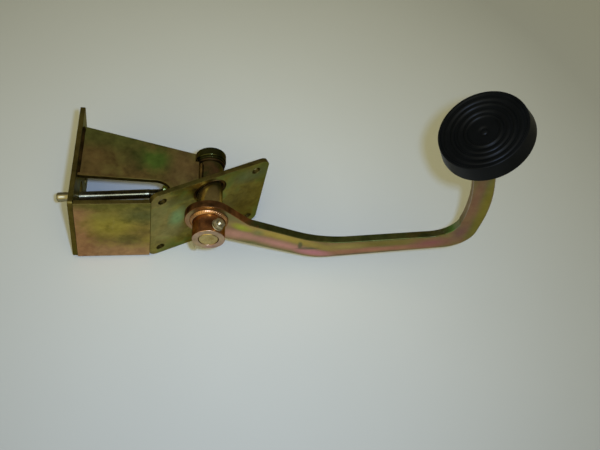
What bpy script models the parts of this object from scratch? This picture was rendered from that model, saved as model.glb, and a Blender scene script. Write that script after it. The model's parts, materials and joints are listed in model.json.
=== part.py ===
"""Under-floor brake pedal: a welded bracket, a pedal arm on a shaft, and a pushrod.

Metres, +Z up. X runs along the pushrod, away from the master cylinder, and Y along the
pivot, away from the pedal arm. The origin is the middle of the four bolt holes, on the
face of the slanted plate that bolts to the chassis.
"""

import math

import bmesh
import bpy
from mathutils import Matrix, Vector

# Fits and edges
GAP = 0.0003
EDGE = 0.00035
ARC_STEP = math.radians(12)

# Stock
PLATE = 0.0047625
ARM_THICK = 0.0079375
LEVER_THICK = 0.00635

# Slanted plate that bolts to the chassis
MOUNT_ANGLE = math.radians(26.5)
MOUNT_HOLES_ALONG = 0.1016
MOUNT_HOLES_UP = 0.08255
MOUNT_HOLE_RADIUS = 0.00435
MOUNT_MARGIN = 0.0118
MOUNT_FAR_MARGIN = 0.0144
MOUNT_FAR_MARGIN_LOW = 0.0108
MOUNT_CORNER = 0.0085

# Flange for the master cylinder
FLANGE_BACK = -0.1334
FLANGE_NEAR = -0.0346
FLANGE_WIDTH = 0.1193
FLANGE_BOTTOM = -0.0506
FLANGE_CORNER = 0.003
ROD_HOLE_Y = 0.0127
ROD_HOLE_Z = -0.0106
ROD_HOLE_RADIUS = 0.015875
CYLINDER_HOLES_ACROSS = 0.068
CYLINDER_HOLES_UP = 0.042
CYLINDER_HOLE_RADIUS = 0.0048

# Side plate and deck
DECK_OVER_PIVOT = 0.0099
SIDE_OVER_DECK = 0.0018
FLANGE_OVER_DECK = 0.0033
DECK_FAR_AT_FLANGE = 0.0617
DECK_PAST_TUBE = 0.0085
SLOT_RADIUS = 0.0163
SLOT_Y = -0.0150
SLOT_END_X = -0.0531
COLLAR_RELIEF = 0.001

# Pivot, stacked along Y from the front of the bearing tube
PIVOT_HEIGHT = 0.033
SHAFT_RADIUS = 0.009525
SHAFT_CHAMFER = 0.0008
TUBE_RADIUS = 0.0127
TUBE_FRONT = -0.0223
TUBE_LENGTH = 0.0508
BUSH_WALL = 0.0012
BUSH_LENGTH = 0.0159
BUSH_FLANGE = 0.0020
BUSH_FLANGE_RADIUS = 0.0142
WASHER = 0.0024
WASHER_RADIUS = 0.0148
COLLAR_RADIUS = 0.0155
COLLAR_LENGTH = 0.0090
SHAFT_PROUD = 0.0022

# Pedal hub and its cross bolt
HUB_RADIUS = 0.015875
HUB_LENGTH = 0.0220
HUB_CHAMFER = 0.0007
CROSS_BOLT_RADIUS = 0.0023812
CROSS_BOLT_INSET = 0.0074
CROSS_BOLT_TILT = math.radians(26)
CROSS_BOLT_FLATS = 0.0098
CROSS_BOLT_HEAD = 0.0055
CROSS_NUT = 0.0042
CROSS_WASHER = 0.0012
CROSS_WASHER_RADIUS = 0.0060
BOLT_END = 0.0022

# Pedal arm, seen from the front, from the pivot
EYE_RADIUS = 0.0238
NECK = Vector((0.0398, -0.0039))
NECK_FILLET = 0.018
VALLEY = Vector((0.1161, -0.0445))
VALLEY_WIDTH = 0.0262
VALLEY_TOP_FILLET = 0.100
VALLEY_BOTTOM_FILLET = 0.055
BEND = Vector((0.2584, -0.0075))
BEND_WIDTH = 0.0208
BEND_INNER_FILLET = 0.030
BEND_OUTER_FILLET = 0.034
RISER_TO_KNEE = 0.064
RISER_WIDTH = 0.0205
RISER_LEAN = math.radians(17.2)
KNEE_FILLET = 0.215
RISER_LENGTH = 0.0988

# Pad
PAD_ANGLE = math.radians(35.7)
PAD_RADIUS = 0.0423
PAD_FACE_RADIUS = 0.0401
PAD_THICKNESS = 0.0162
PAD_LIP = 0.0020
PAD_LIP_WIDTH = 0.0040
BACKING_RADIUS = 0.0385
BACKING_THICK = 0.0032
PAD_RIM_ROUND = 0.0014
PAD_RIM_WIDTH = 0.0030
PAD_RIM_STEP = 0.0010
PAD_DISH = 0.0022
PAD_RING_COUNT = 4
PAD_RING_FIRST = 0.0157
PAD_RING_PITCH = 0.0058
PAD_RING_HALF = 0.0019
PAD_RING_HEIGHT = 0.0015
PAD_LOW_RING = 0.0009
RING_CROWN = 0.45
PAD_DOT_RADIUS = 0.0032
PAD_DOT_HEIGHT = 0.0012
DOT_CROWN = 0.6
DOT_SHOULDER = 0.8
PAD_DIMPLE_RADIUS = 0.0065
PAD_DIMPLE_DEPTH = 0.0009

# Operating lever and pushrod
LEVER_LENGTH = 0.0416
LEVER_ANGLE = math.radians(3)
LEVER_HALF_WIDTH = 0.0111
ROD_RADIUS = 0.0047625
ROD_STUB = 0.0190
ROD_TIP_ROUND = 0.0022
JOINT_BOLT_RADIUS = 0.00397
JOINT_BOLT_FLATS = 0.0127
JOINT_BOLT_HEAD = 0.0050
JOINT_NUT = 0.0068
BALL_RADIUS = 0.0075
BALL_WIDTH = 0.0111
HOUSING_RADIUS = 0.0111
HOUSING_WIDTH = 0.0087
SOCKET_RADIUS = 0.0072
SOCKET_LENGTH = 0.0390
SOCKET_DEPTH = 0.0220
JAM_NUT = 0.0055
JAM_NUT_FLATS = 0.0143

# Weld beads: length of the leg along each wall
BEAD_LEG = 0.0030
TUBE_BEAD_LEG = 0.0030
TUBE_BEAD_ROOT = 0.0009
TUBE_GROOVE_DEPTH = 0.0024
PAD_BEAD_LEG = 0.0040
PAD_WELD_INSET = 0.0016
LEVER_BEAD_LEG = 0.0024
BEAD_CROWN = 0.64
BEAD_LEAN = 0.10

# Shapes of heads, nuts and round ends, as shares of a size
HEX_FACE = 0.47
HEX_CORNER_DROP = 0.15
BOLT_POINT = 0.8
SMALL_ROUND = 0.3
SHANK_MOUTH = 0.8

# Number of sides on round pieces
SIDES = 32
FINE_SIDES = 48
SMALL_SIDES = 24
BALL_STEPS = 8
LEVER_BEAD_STEPS = 8

# Places that follow from the sizes
FLANGE_FACE = FLANGE_BACK + PLATE
DECK_TOP = PIVOT_HEIGHT + DECK_OVER_PIVOT
DECK_UNDERSIDE = DECK_TOP - PLATE
FLANGE_TOP = DECK_TOP + FLANGE_OVER_DECK
SIDE_TOP = DECK_TOP + SIDE_OVER_DECK
MOUNT_NEAR_END = MOUNT_HOLES_ALONG / 2 + MOUNT_MARGIN
MOUNT_FAR_END = MOUNT_HOLES_ALONG / 2 + MOUNT_FAR_MARGIN
MOUNT_FAR_LOW_END = MOUNT_HOLES_ALONG / 2 + MOUNT_FAR_MARGIN_LOW
MOUNT_HEIGHT = MOUNT_HOLES_UP + 2 * MOUNT_MARGIN
MOUNT_ALONG = Vector((math.cos(MOUNT_ANGLE), math.sin(MOUNT_ANGLE)))
MOUNT_OUT = Vector((math.sin(MOUNT_ANGLE), -math.cos(MOUNT_ANGLE)))
BORE_RADIUS = SHAFT_RADIUS + GAP
TUBE_REAR = TUBE_FRONT + TUBE_LENGTH
TUBE_BORE = BORE_RADIUS + BUSH_WALL + GAP
ARM_REAR = TUBE_FRONT - BUSH_FLANGE - WASHER - 3 * GAP
ARM_FRONT = ARM_REAR - ARM_THICK
HUB_FRONT = ARM_FRONT - HUB_LENGTH
COLLAR_FRONT = TUBE_REAR + BUSH_FLANGE + WASHER + 3 * GAP
COLLAR_REAR = COLLAR_FRONT + COLLAR_LENGTH
SHAFT_REAR = COLLAR_REAR + SHAFT_PROUD
PIN = Vector((math.sin(-LEVER_ANGLE), -math.cos(LEVER_ANGLE))) * LEVER_LENGTH
BALL_Y = COLLAR_FRONT - GAP - BALL_WIDTH / 2
PAD_SEAT = BACKING_THICK + GAP
PAD_RIM = PAD_THICKNESS - PAD_LIP - GAP

# Ways to turn a piece that is drawn flat: its own x, y, z then lie along these axes
ALONG_Y = (math.radians(-90), 0, 0)
FACING_FRONT = (math.radians(90), 0, 0)
FACING_X = (math.radians(90), 0, math.radians(90))
ON_MOUNT = (math.radians(90), 0, MOUNT_ANGLE)


def clear_scene():
    for obj in list(bpy.data.objects):
        bpy.data.objects.remove(obj, do_unlink=True)


def finish(name, colour, metallic, roughness):
    material = bpy.data.materials.new(name)
    material.use_nodes = True
    shader = material.node_tree.nodes["Principled BSDF"]
    shader.inputs["Base Color"].default_value = (*colour, 1)
    shader.inputs["Metallic"].default_value = metallic
    shader.inputs["Roughness"].default_value = roughness
    return material


def empty(name, parent=None, location=(0, 0, 0), rotation=(0, 0, 0)):
    obj = bpy.data.objects.new(name, None)
    bpy.context.collection.objects.link(obj)
    obj.empty_display_size = 0.02
    obj.parent = parent
    obj.location = location
    obj.rotation_euler = rotation
    return obj


def piece(name, bm, material, parent, location=(0, 0, 0), rotation=(0, 0, 0)):
    """An object made of the bmesh, which is freed."""
    bmesh.ops.remove_doubles(bm, verts=bm.verts, dist=1e-6)
    bmesh.ops.recalc_face_normals(bm, faces=bm.faces)
    mesh = bpy.data.meshes.new(name)
    bm.to_mesh(mesh)
    bm.free()
    mesh.shade_smooth()
    mesh.set_sharp_from_angle(angle=math.radians(35))
    obj = bpy.data.objects.new(name, mesh)
    bpy.context.collection.objects.link(obj)
    obj.data.materials.append(material)
    obj.parent = parent
    obj.location = location
    obj.rotation_euler = rotation
    return obj


def deburr(obj, width=EDGE, segments=1):
    modifier = obj.modifiers.new("deburr", "BEVEL")
    modifier.width = width
    modifier.segments = segments
    modifier.limit_method = "ANGLE"
    modifier.angle_limit = math.radians(50)


def boolean(obj, tool, operation):
    """Cuts the tool from the object or joins it on, and hides the tool."""
    modifier = obj.modifiers.new(operation.lower(), "BOOLEAN")
    modifier.operation = operation
    modifier.solver = "EXACT"
    modifier.object = tool
    tool.hide_render = True
    tool.display_type = "WIRE"


def arc(centre, radius, start, end):
    """Points on an arc from one angle to another, both included."""
    steps = max(2, math.ceil(abs(end - start) / ARC_STEP))
    angles = [start + (end - start) * i / steps for i in range(steps + 1)]
    return [Vector(centre) + radius * Vector((math.cos(a), math.sin(a))) for a in angles]


def circle(centre, radius, sides):
    angles = [2 * math.pi * i / sides for i in range(sides)]
    return [Vector(centre) + radius * Vector((math.cos(a), math.sin(a))) for a in angles]


def hexagon(flats):
    return circle((0, 0), flats / 2 / math.cos(math.pi / 6), 6)


def filleted(corners):
    """The outline through (point, fillet radius) corners, with each corner rounded."""
    outline = []
    for i, (here, radius) in enumerate(corners):
        if radius == 0:
            outline.append(here)
            continue
        before = (corners[i - 1][0] - here).normalized()
        after = (corners[(i + 1) % len(corners)][0] - here).normalized()
        half = before.angle(after) / 2
        centre = here + (before + after).normalized() * radius / math.sin(half)
        reach = radius / math.tan(half)
        first = here + before * reach - centre
        last = here + after * reach - centre
        turn = math.atan2(first.x * last.y - first.y * last.x, first.dot(last))
        start = math.atan2(first.y, first.x)
        outline += arc(centre, radius, start, start + turn)
    return outline


def rectangle(width, height, corner, centre=(0, 0)):
    middle = Vector(centre)
    corners = ((-1, -1), (1, -1), (1, 1), (-1, 1))
    return filleted(
        [(middle + Vector((x * width / 2, y * height / 2)), corner) for x, y in corners]
    )


def prism(outline, depth, holes=()):
    """A flat outline with its holes, extruded along z."""
    bm = bmesh.new()
    for loop in (outline, *holes):
        verts = [bm.verts.new((p[0], p[1], 0)) for p in loop]
        for a, b in zip(verts, verts[1:] + verts[:1]):
            bm.edges.new((a, b))
    bmesh.ops.triangle_fill(bm, edges=bm.edges[:], use_beauty=True)
    top = bmesh.ops.extrude_face_region(bm, geom=bm.faces[:])["geom"]
    raised = [v for v in top if isinstance(v, bmesh.types.BMVert)]
    bmesh.ops.translate(bm, verts=raised, vec=(0, 0, depth))
    return bm


def loft(lower, upper):
    """A solid between two outlines, each a list of points in space."""
    bm = bmesh.new()
    loops = []
    for loop in (lower, upper):
        verts = [bm.verts.new(p) for p in loop]
        loops += [bm.edges.new(pair) for pair in zip(verts, verts[1:] + verts[:1])]
        bm.faces.new(verts)
    bmesh.ops.bridge_loops(bm, edges=loops)
    return bm


def turned(profile, sides):
    """The (radius, height) profile spun about z. It is a closed ring unless it starts on the axis."""
    bm = bmesh.new()
    verts = [bm.verts.new((r, 0, z)) for r, z in profile]
    edges = [bm.edges.new(pair) for pair in zip(verts, verts[1:])]
    if profile[0][0] > 0:
        edges.append(bm.edges.new((verts[-1], verts[0])))
    bmesh.ops.spin(
        bm,
        geom=verts + edges,
        cent=(0, 0, 0),
        axis=(0, 0, 1),
        angle=2 * math.pi,
        steps=sides,
    )
    return bm


def ring(inner, outer, low, high, sides=SIDES, chamfer=0.0):
    """A round tube or washer, with chamfered outer corners if asked."""
    profile = [(inner, low), (outer - chamfer, low)]
    if chamfer:
        profile += [(outer, low + chamfer), (outer, high - chamfer)]
    profile += [(outer - chamfer, high), (inner, high)]
    return turned(profile, sides)


def bar(radius, low, high, chamfer=0.0, sides=SIDES):
    """A round bar, with chamfered ends if asked."""
    profile = [(0, low), (radius - chamfer, low)]
    if chamfer:
        profile += [(radius, low + chamfer), (radius, high - chamfer)]
    profile += [(radius - chamfer, high), (0, high)]
    return turned(profile, sides)


def bead_section(leg):
    """A fillet weld's section from its root, with a crowned face."""
    crown = (GAP + leg) * BEAD_CROWN
    lean = leg * BEAD_LEAN
    return [(GAP, GAP), (leg, GAP), (crown + lean, crown - lean), (GAP, leg)]


def bead(name, start, end, wall_a, wall_b, leg, parent):
    """A straight fillet weld from start to end in the corner between two walls."""
    a, b = Vector(wall_a), Vector(wall_b)
    section = [a * u + b * v for u, v in bead_section(leg)]
    lower = [Vector(start) + p for p in section]
    upper = [Vector(end) + p for p in section]
    return piece(name, loft(lower, upper), MATERIALS["weld"], parent)


def round_bead(radius, base, leg, sides=SIDES):
    """A fillet weld round a bar that stands on a face at the height base."""
    return turned([(radius + u, base + v) for u, v in bead_section(leg)], sides)


def hex_sides(obj, flats, low, high):
    """Cuts six flats on a round head or nut between two heights."""
    tool = prism(circle((0, 0), 2 * flats, SMALL_SIDES), high - low, [hexagon(flats)])
    bmesh.ops.translate(tool, verts=tool.verts, vec=(0, 0, low))
    material = obj.data.materials[0]
    cutter = piece(
        obj.name + "_flats_tool", tool, material, obj.parent, obj.location, obj.rotation_euler
    )
    boolean(obj, cutter, "DIFFERENCE")


def hex_bolt(name, radius, flats, head, seat, tip, parent, location, rotation):
    """A bolt whose head sits below the height seat and whose shank ends at the height tip."""
    corner = flats / 2 / math.cos(math.pi / 6)
    top = seat - head
    drop = head * HEX_CORNER_DROP
    point = radius * BOLT_POINT
    profile = [(0, top), (flats * HEX_FACE, top), (corner, top + drop), (corner, seat)]
    profile += [(radius, seat), (radius, tip - radius + point), (point, tip), (0, tip)]
    bm = turned(profile, SMALL_SIDES)
    bolt = piece(name, bm, MATERIALS["fastener"], parent, location, rotation)
    hex_sides(bolt, flats, top - drop, seat)


def hex_nut(name, bore, flats, low, high, parent, location, rotation):
    corner = flats / 2 / math.cos(math.pi / 6)
    drop = (high - low) * HEX_CORNER_DROP
    profile = [(bore, low), (flats * HEX_FACE, low), (corner, low + drop)]
    profile += [(corner, high - drop), (flats * HEX_FACE, high), (bore, high)]
    bm = turned(profile, SMALL_SIDES)
    nut = piece(name, bm, MATERIALS["fastener"], parent, location, rotation)
    hex_sides(nut, flats, low - drop, high + drop)


def space(point, z):
    return Vector((point[0], point[1], z))


def behind_mount(x, offset):
    """The y of the line that runs behind the slanted plate's front face, at x."""
    return (x * math.sin(MOUNT_ANGLE) + offset) / math.cos(MOUNT_ANGLE)


def chord(radius, rise):
    """Half the width of a circle at a height above its centre."""
    return math.sqrt(radius**2 - rise**2)


def pivot_tool(name, radius, parent):
    bm = bar(radius, 2 * ARM_FRONT, 2 * COLLAR_REAR, sides=FINE_SIDES)
    place = (0, 0, PIVOT_HEIGHT)
    return piece(name, bm, MATERIALS["plate"], parent, place, ALONG_Y)


def build_flange(bracket):
    width_centre = FLANGE_NEAR + FLANGE_WIDTH / 2
    height = FLANGE_TOP - FLANGE_BOTTOM
    middle = (width_centre, FLANGE_BOTTOM + height / 2)
    outline = rectangle(FLANGE_WIDTH, height, FLANGE_CORNER, middle)
    rod_hole = Vector((ROD_HOLE_Y, ROD_HOLE_Z))
    holes = [circle(rod_hole, ROD_HOLE_RADIUS, SIDES)]
    for side in (-0.5, 0.5):
        for level in (-0.5, 0.5):
            offset = Vector((side * CYLINDER_HOLES_ACROSS, level * CYLINDER_HOLES_UP))
            holes.append(circle(rod_hole + offset, CYLINDER_HOLE_RADIUS, SMALL_SIDES))
    bm = prism(outline, PLATE, holes)
    place = (FLANGE_BACK, 0, 0)
    deburr(piece("master_cylinder_flange", bm, MATERIALS["plate"], bracket, place, FACING_X))


def tube_oval(spread, rise):
    """Where a bar wider than the tube by spread crosses a plane at a height over the slanted face."""
    slant = math.cos(MOUNT_ANGLE)
    lean = math.tan(MOUNT_ANGLE)
    return [
        Vector((p.x / slant - rise * lean, p.y + PIVOT_HEIGHT, rise))
        for p in circle((0, 0), TUBE_RADIUS + spread, SIDES)
    ]


def groove_tool(bracket):
    """The flared groove round the tube, which lets its weld lie flush with the bolting face."""
    flare = (TUBE_BEAD_LEG - TUBE_BEAD_ROOT) / TUBE_GROOVE_DEPTH
    floor = tube_oval(TUBE_BEAD_ROOT + GAP, -TUBE_GROOVE_DEPTH - GAP)
    mouth = TUBE_BEAD_ROOT + GAP + flare * (TUBE_GROOVE_DEPTH + 2 * GAP)
    bm = loft(floor, tube_oval(mouth, GAP))
    return piece("groove_tool", bm, MATERIALS["plate"], bracket, (0, 0, 0), ON_MOUNT)


def build_mounting_plate(bracket):
    half_height = MOUNT_HEIGHT / 2
    corners = (
        Vector((-MOUNT_NEAR_END, -half_height)),
        Vector((MOUNT_FAR_LOW_END, -half_height)),
        Vector((MOUNT_FAR_END, half_height)),
        Vector((-MOUNT_NEAR_END, half_height)),
    )
    outline = filleted([(corner, MOUNT_CORNER) for corner in corners])
    holes = []
    for side in (-0.5, 0.5):
        for level in (-0.5, 0.5):
            centre = (side * MOUNT_HOLES_ALONG, level * MOUNT_HOLES_UP)
            holes.append(circle(centre, MOUNT_HOLE_RADIUS, SMALL_SIDES))
    back = space(-MOUNT_OUT * PLATE, 0)
    plate = piece(
        "frame_mounting_plate",
        prism(outline, PLATE, holes),
        MATERIALS["plate"],
        bracket,
        back,
        ON_MOUNT,
    )
    deburr(plate)
    boolean(plate, pivot_tool("tube_hole_tool", TUBE_RADIUS + GAP, bracket), "DIFFERENCE")
    boolean(plate, groove_tool(bracket), "DIFFERENCE")


def side_plate_corners():
    """The side plate from above: front face at the flange, front at the plate, then its back."""
    start = Vector((FLANGE_FACE + GAP, FLANGE_NEAR))
    end = -MOUNT_ALONG * (MOUNT_NEAR_END + GAP)
    run = (end - start).normalized()
    inward = Vector((-run.y, run.x))
    end_cut = PLATE / inward.dot(-MOUNT_OUT)
    back_end = end - MOUNT_OUT * end_cut
    back_start = start + Vector((0, PLATE / inward.y))
    return start, end, back_end, back_start


def build_side_plate(bracket):
    bm = prism(side_plate_corners(), SIDE_TOP - FLANGE_BOTTOM)
    place = (0, 0, FLANGE_BOTTOM)
    deburr(piece("side_plate", bm, MATERIALS["side"], bracket, place))


def deck_tube_edge():
    """The deck's sawn edge touches the tube at its underside."""
    return -(chord(TUBE_RADIUS, DECK_UNDERSIDE - PIVOT_HEIGHT) + GAP)


def deck_collar_edge():
    return -(chord(COLLAR_RADIUS, DECK_UNDERSIDE - PIVOT_HEIGHT) + COLLAR_RELIEF)


def slot_end_angle():
    """Where the slot's round end meets the back of the slanted plate."""
    centre = Vector((SLOT_END_X, SLOT_Y))
    reach = -(PLATE + GAP) - MOUNT_OUT.dot(centre)
    return math.atan2(MOUNT_OUT.y, MOUNT_OUT.x) + math.acos(reach / SLOT_RADIUS)


def build_deck(bracket):
    flange = FLANGE_FACE + GAP
    tube_edge, collar_edge = deck_tube_edge(), deck_collar_edge()
    relief = TUBE_REAR - COLLAR_RELIEF
    outline = [Vector((flange, DECK_FAR_AT_FLANGE)), Vector((flange, SLOT_Y + SLOT_RADIUS))]
    outline += arc((SLOT_END_X, SLOT_Y), SLOT_RADIUS, math.pi / 2, slot_end_angle())
    outline += [
        Vector((tube_edge, behind_mount(tube_edge, PLATE + GAP))),
        Vector((tube_edge, relief)),
        Vector((collar_edge, relief)),
        Vector((collar_edge, TUBE_REAR + DECK_PAST_TUBE)),
    ]
    place = (0, 0, DECK_UNDERSIDE)
    deburr(piece("deck_plate", prism(outline, PLATE), MATERIALS["deck"], bracket, place))


def build_bearing(bracket):
    axis = (0, 0, PIVOT_HEIGHT)
    tube = ring(TUBE_BORE, TUBE_RADIUS, TUBE_FRONT, TUBE_REAR, SIDES, EDGE)
    piece("bearing_tube", tube, MATERIALS["plate"], bracket, axis, ALONG_Y)
    for name, end, inward in (("front_bushing", TUBE_FRONT, 1), ("rear_bushing", TUBE_REAR, -1)):
        sleeve = BORE_RADIUS + BUSH_WALL
        face = end - inward * GAP
        flange = face - inward * BUSH_FLANGE
        tip = end + inward * BUSH_LENGTH
        profile = [(BORE_RADIUS, flange), (BUSH_FLANGE_RADIUS, flange)]
        profile += [(BUSH_FLANGE_RADIUS, face), (sleeve, face)]
        profile += [(sleeve, tip), (BORE_RADIUS, tip)]
        piece(name, turned(profile, SIDES), MATERIALS["bronze"], bracket, axis, ALONG_Y)


def tube_bead(bracket):
    """The weld round the tube, flush in its groove: an oval that leans with the tube."""
    bm = loft(tube_oval(TUBE_BEAD_ROOT, -TUBE_GROOVE_DEPTH), tube_oval(TUBE_BEAD_LEG, 0))
    weld = piece("tube_weld", bm, MATERIALS["weld"], bracket, (0, 0, 0), ON_MOUNT)
    boolean(weld, pivot_tool("tube_weld_tool", TUBE_RADIUS + GAP, bracket), "DIFFERENCE")


def deck_tube_bead(bracket):
    """Fills the groove between the deck's sawn edge and the round of the tube."""
    edge = deck_tube_edge() + GAP
    radius = TUBE_RADIUS + GAP
    underside, top = DECK_UNDERSIDE - PIVOT_HEIGHT, DECK_TOP - PIVOT_HEIGHT
    low = math.pi - math.asin((underside + PLATE / 2) / radius)
    high = math.pi - math.asin((top + EDGE) / radius)
    section = [Vector((edge, radius * math.sin(low)))]
    section += arc((0, 0), radius, low, high)
    section += [Vector((edge + BEAD_LEG / 2, top + BEAD_LEG / 3)), Vector((edge, top))]
    front = behind_mount(edge, PLATE) + BEAD_LEG
    rear = TUBE_REAR - BEAD_LEG
    bm = prism(section, rear - front)
    place = (0, rear, PIVOT_HEIGHT)
    piece("deck_tube_weld", bm, MATERIALS["weld"], bracket, place, FACING_FRONT)


def build_welds(bracket):
    tube_bead(bracket)
    deck_tube_bead(bracket)
    run_out = BEAD_LEG
    bead(
        "deck_flange_weld",
        (FLANGE_FACE, SLOT_Y + SLOT_RADIUS + run_out, DECK_TOP),
        (FLANGE_FACE, DECK_FAR_AT_FLANGE - run_out, DECK_TOP),
        (1, 0, 0),
        (0, 0, 1),
        BEAD_LEG,
        bracket,
    )
    start, end, back_end, back_start = side_plate_corners()
    run = (end - start).normalized()
    inward = Vector((-run.y, run.x))
    root = Vector((FLANGE_FACE, back_start.y - run.y / run.x * GAP))
    bead(
        "side_flange_weld",
        space(root, FLANGE_BOTTOM + run_out),
        space(root, SIDE_TOP - run_out),
        space(run, 0),
        space(inward, 0),
        BEAD_LEG,
        bracket,
    )
    corner = back_end + MOUNT_ALONG * GAP
    bead(
        "side_mount_weld",
        space(corner, FLANGE_BOTTOM + run_out),
        space(corner, DECK_UNDERSIDE - run_out),
        space(-run, 0),
        space(-MOUNT_OUT, 0),
        BEAD_LEG,
        bracket,
    )
    slot_end = arc((SLOT_END_X, SLOT_Y), SLOT_RADIUS, math.pi / 2, slot_end_angle())[-1]
    deck_start = slot_end + MOUNT_OUT * GAP + MOUNT_ALONG * run_out
    deck_end_x = deck_tube_edge() - BEAD_LEG
    deck_end = Vector((deck_end_x, behind_mount(deck_end_x, PLATE)))
    bead(
        "deck_mount_weld",
        space(deck_start, DECK_TOP),
        space(deck_end, DECK_TOP),
        space(-MOUNT_OUT, 0),
        (0, 0, 1),
        BEAD_LEG,
        bracket,
    )


def mitre(before, here, after, width):
    """The two outline corners where a bar of this width turns, left side first."""
    arriving = (here - before).normalized()
    leaving = (after - here).normalized()
    along = (arriving + leaving).normalized()
    across = Vector((-along.y, along.x)) * width / 2 / along.dot(arriving)
    return here + across, here - across


def riser():
    """The knee, the direction from it to the pad, and the middle of the arm's end."""
    knee = BEND + Vector((0, RISER_TO_KNEE))
    up = Vector((-math.sin(RISER_LEAN), math.cos(RISER_LEAN)))
    return knee, up, knee + up * RISER_LENGTH


def pad_normal():
    return Vector((-math.sin(PAD_ANGLE), math.cos(PAD_ANGLE)))


def arm_outline():
    knee, up, end = riser()
    valley_top, valley_low = mitre(NECK, VALLEY, BEND, VALLEY_WIDTH)
    bend_in, bend_out = mitre(VALLEY, BEND, knee, BEND_WIDTH)
    knee_in, knee_out = mitre(BEND, knee, end, RISER_WIDTH)
    normal = pad_normal()
    end_in, end_out = (
        corner + up * (end - corner).dot(normal) / up.dot(normal)
        for corner in (knee_in, knee_out)
    )
    top_angle = math.atan2(NECK.y, NECK.x) + math.acos(EYE_RADIUS / NECK.length)
    low_angle = math.atan2(valley_low.y, valley_low.x) - math.acos(
        EYE_RADIUS / valley_low.length
    )
    corners = [(p, 0) for p in arc((0, 0), EYE_RADIUS, top_angle, low_angle + 2 * math.pi)]
    corners += [
        (valley_low, VALLEY_BOTTOM_FILLET),
        (bend_out, BEND_OUTER_FILLET),
        (knee_out, KNEE_FILLET),
        (end_out, 0),
        (end_in, 0),
        (knee_in, KNEE_FILLET),
        (bend_in, BEND_INNER_FILLET),
        (valley_top, VALLEY_TOP_FILLET),
        (NECK, NECK_FILLET),
    ]
    return filleted(corners)


def build_arm(pedal):
    hole = circle((0, 0), HUB_RADIUS + GAP, SIDES)
    bm = prism(arm_outline(), ARM_THICK, [hole])
    arm = piece("pedal_arm", bm, MATERIALS["arm"], pedal, (0, ARM_REAR, 0), FACING_FRONT)
    deburr(arm)


def build_hub(pedal):
    hub_bm = ring(BORE_RADIUS, HUB_RADIUS, HUB_FRONT, ARM_REAR, SIDES, HUB_CHAMFER)
    hub = piece("pedal_hub", hub_bm, MATERIALS["hub"], pedal, (0, 0, 0), ALONG_Y)
    shaft_bm = bar(SHAFT_RADIUS, HUB_FRONT, SHAFT_REAR, SHAFT_CHAMFER)
    shaft = piece("pivot_shaft", shaft_bm, MATERIALS["shaft"], pedal, (0, 0, 0), ALONG_Y)
    weld_bm = round_bead(HUB_RADIUS, 0, BEAD_LEG)
    piece("hub_weld", weld_bm, MATERIALS["hub"], pedal, (0, ARM_FRONT, 0), FACING_FRONT)

    across = (0, HUB_FRONT + CROSS_BOLT_INSET, 0)
    tilt = (0, CROSS_BOLT_TILT, 0)
    bore = CROSS_BOLT_RADIUS + GAP
    tool_bm = bar(bore, -2 * HUB_RADIUS, 2 * HUB_RADIUS, sides=SMALL_SIDES)
    tool = piece("cross_hole_tool", tool_bm, MATERIALS["hub"], pedal, across, tilt)
    boolean(hub, tool, "DIFFERENCE")
    boolean(shaft, tool, "DIFFERENCE")

    seat = HUB_RADIUS + GAP
    washer_top = seat + CROSS_WASHER
    nut_low = washer_top + GAP
    nut_top = nut_low + CROSS_NUT
    hex_bolt(
        "hub_cross_bolt",
        CROSS_BOLT_RADIUS,
        CROSS_BOLT_FLATS,
        CROSS_BOLT_HEAD,
        -nut_low,
        nut_top + BOLT_END,
        pedal,
        across,
        tilt,
    )
    hex_nut("hub_cross_nut", bore, CROSS_BOLT_FLATS, nut_low, nut_top, pedal, across, tilt)
    for name, low in (("hub_nut_washer", seat), ("hub_head_washer", -washer_top)):
        bm = ring(bore, CROSS_WASHER_RADIUS, low, low + CROSS_WASHER, SMALL_SIDES)
        piece(name, bm, MATERIALS["fastener"], pedal, across, tilt)


def build_thrust_washers(pedal):
    for name, low in (
        ("front_thrust_washer", ARM_REAR + GAP),
        ("rear_thrust_washer", COLLAR_FRONT - GAP - WASHER),
    ):
        bm = ring(BORE_RADIUS, WASHER_RADIUS, low, low + WASHER)
        piece(name, bm, MATERIALS["fastener"], pedal, (0, 0, 0), ALONG_Y)


def lever_outline():
    """Parallel sides down to a round foot at the pin, with the top coped to the collar."""
    radius = COLLAR_RADIUS + GAP
    half_angle = math.asin(LEVER_HALF_WIDTH / radius)
    down = -math.pi / 2
    outline = arc((0, 0), radius, down + half_angle, down - half_angle)
    outline += arc((0, -LEVER_LENGTH), LEVER_HALF_WIDTH, math.pi, 2 * math.pi)
    return outline


def lever_bead(pedal):
    """A bead along the collar behind the lever, as wide as the lever."""
    radius = COLLAR_RADIUS
    half_angle = math.asin(LEVER_HALF_WIDTH / radius)
    bm = bmesh.new()
    section = [bm.verts.new((radius + u, 0, v)) for u, v in bead_section(LEVER_BEAD_LEG)]
    face = bm.faces.new(section)
    bmesh.ops.spin(
        bm,
        geom=[face],
        cent=(0, 0, 0),
        axis=(0, 0, 1),
        angle=2 * half_angle,
        steps=LEVER_BEAD_STEPS,
    )
    turn = Matrix.Rotation(math.pi / 2 - half_angle + LEVER_ANGLE, 3, "Z")
    bmesh.ops.rotate(bm, cent=(0, 0, 0), matrix=turn, verts=bm.verts)
    place = (0, COLLAR_FRONT + LEVER_THICK, 0)
    piece("lever_weld", bm, MATERIALS["weld"], pedal, place, ALONG_Y)


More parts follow.
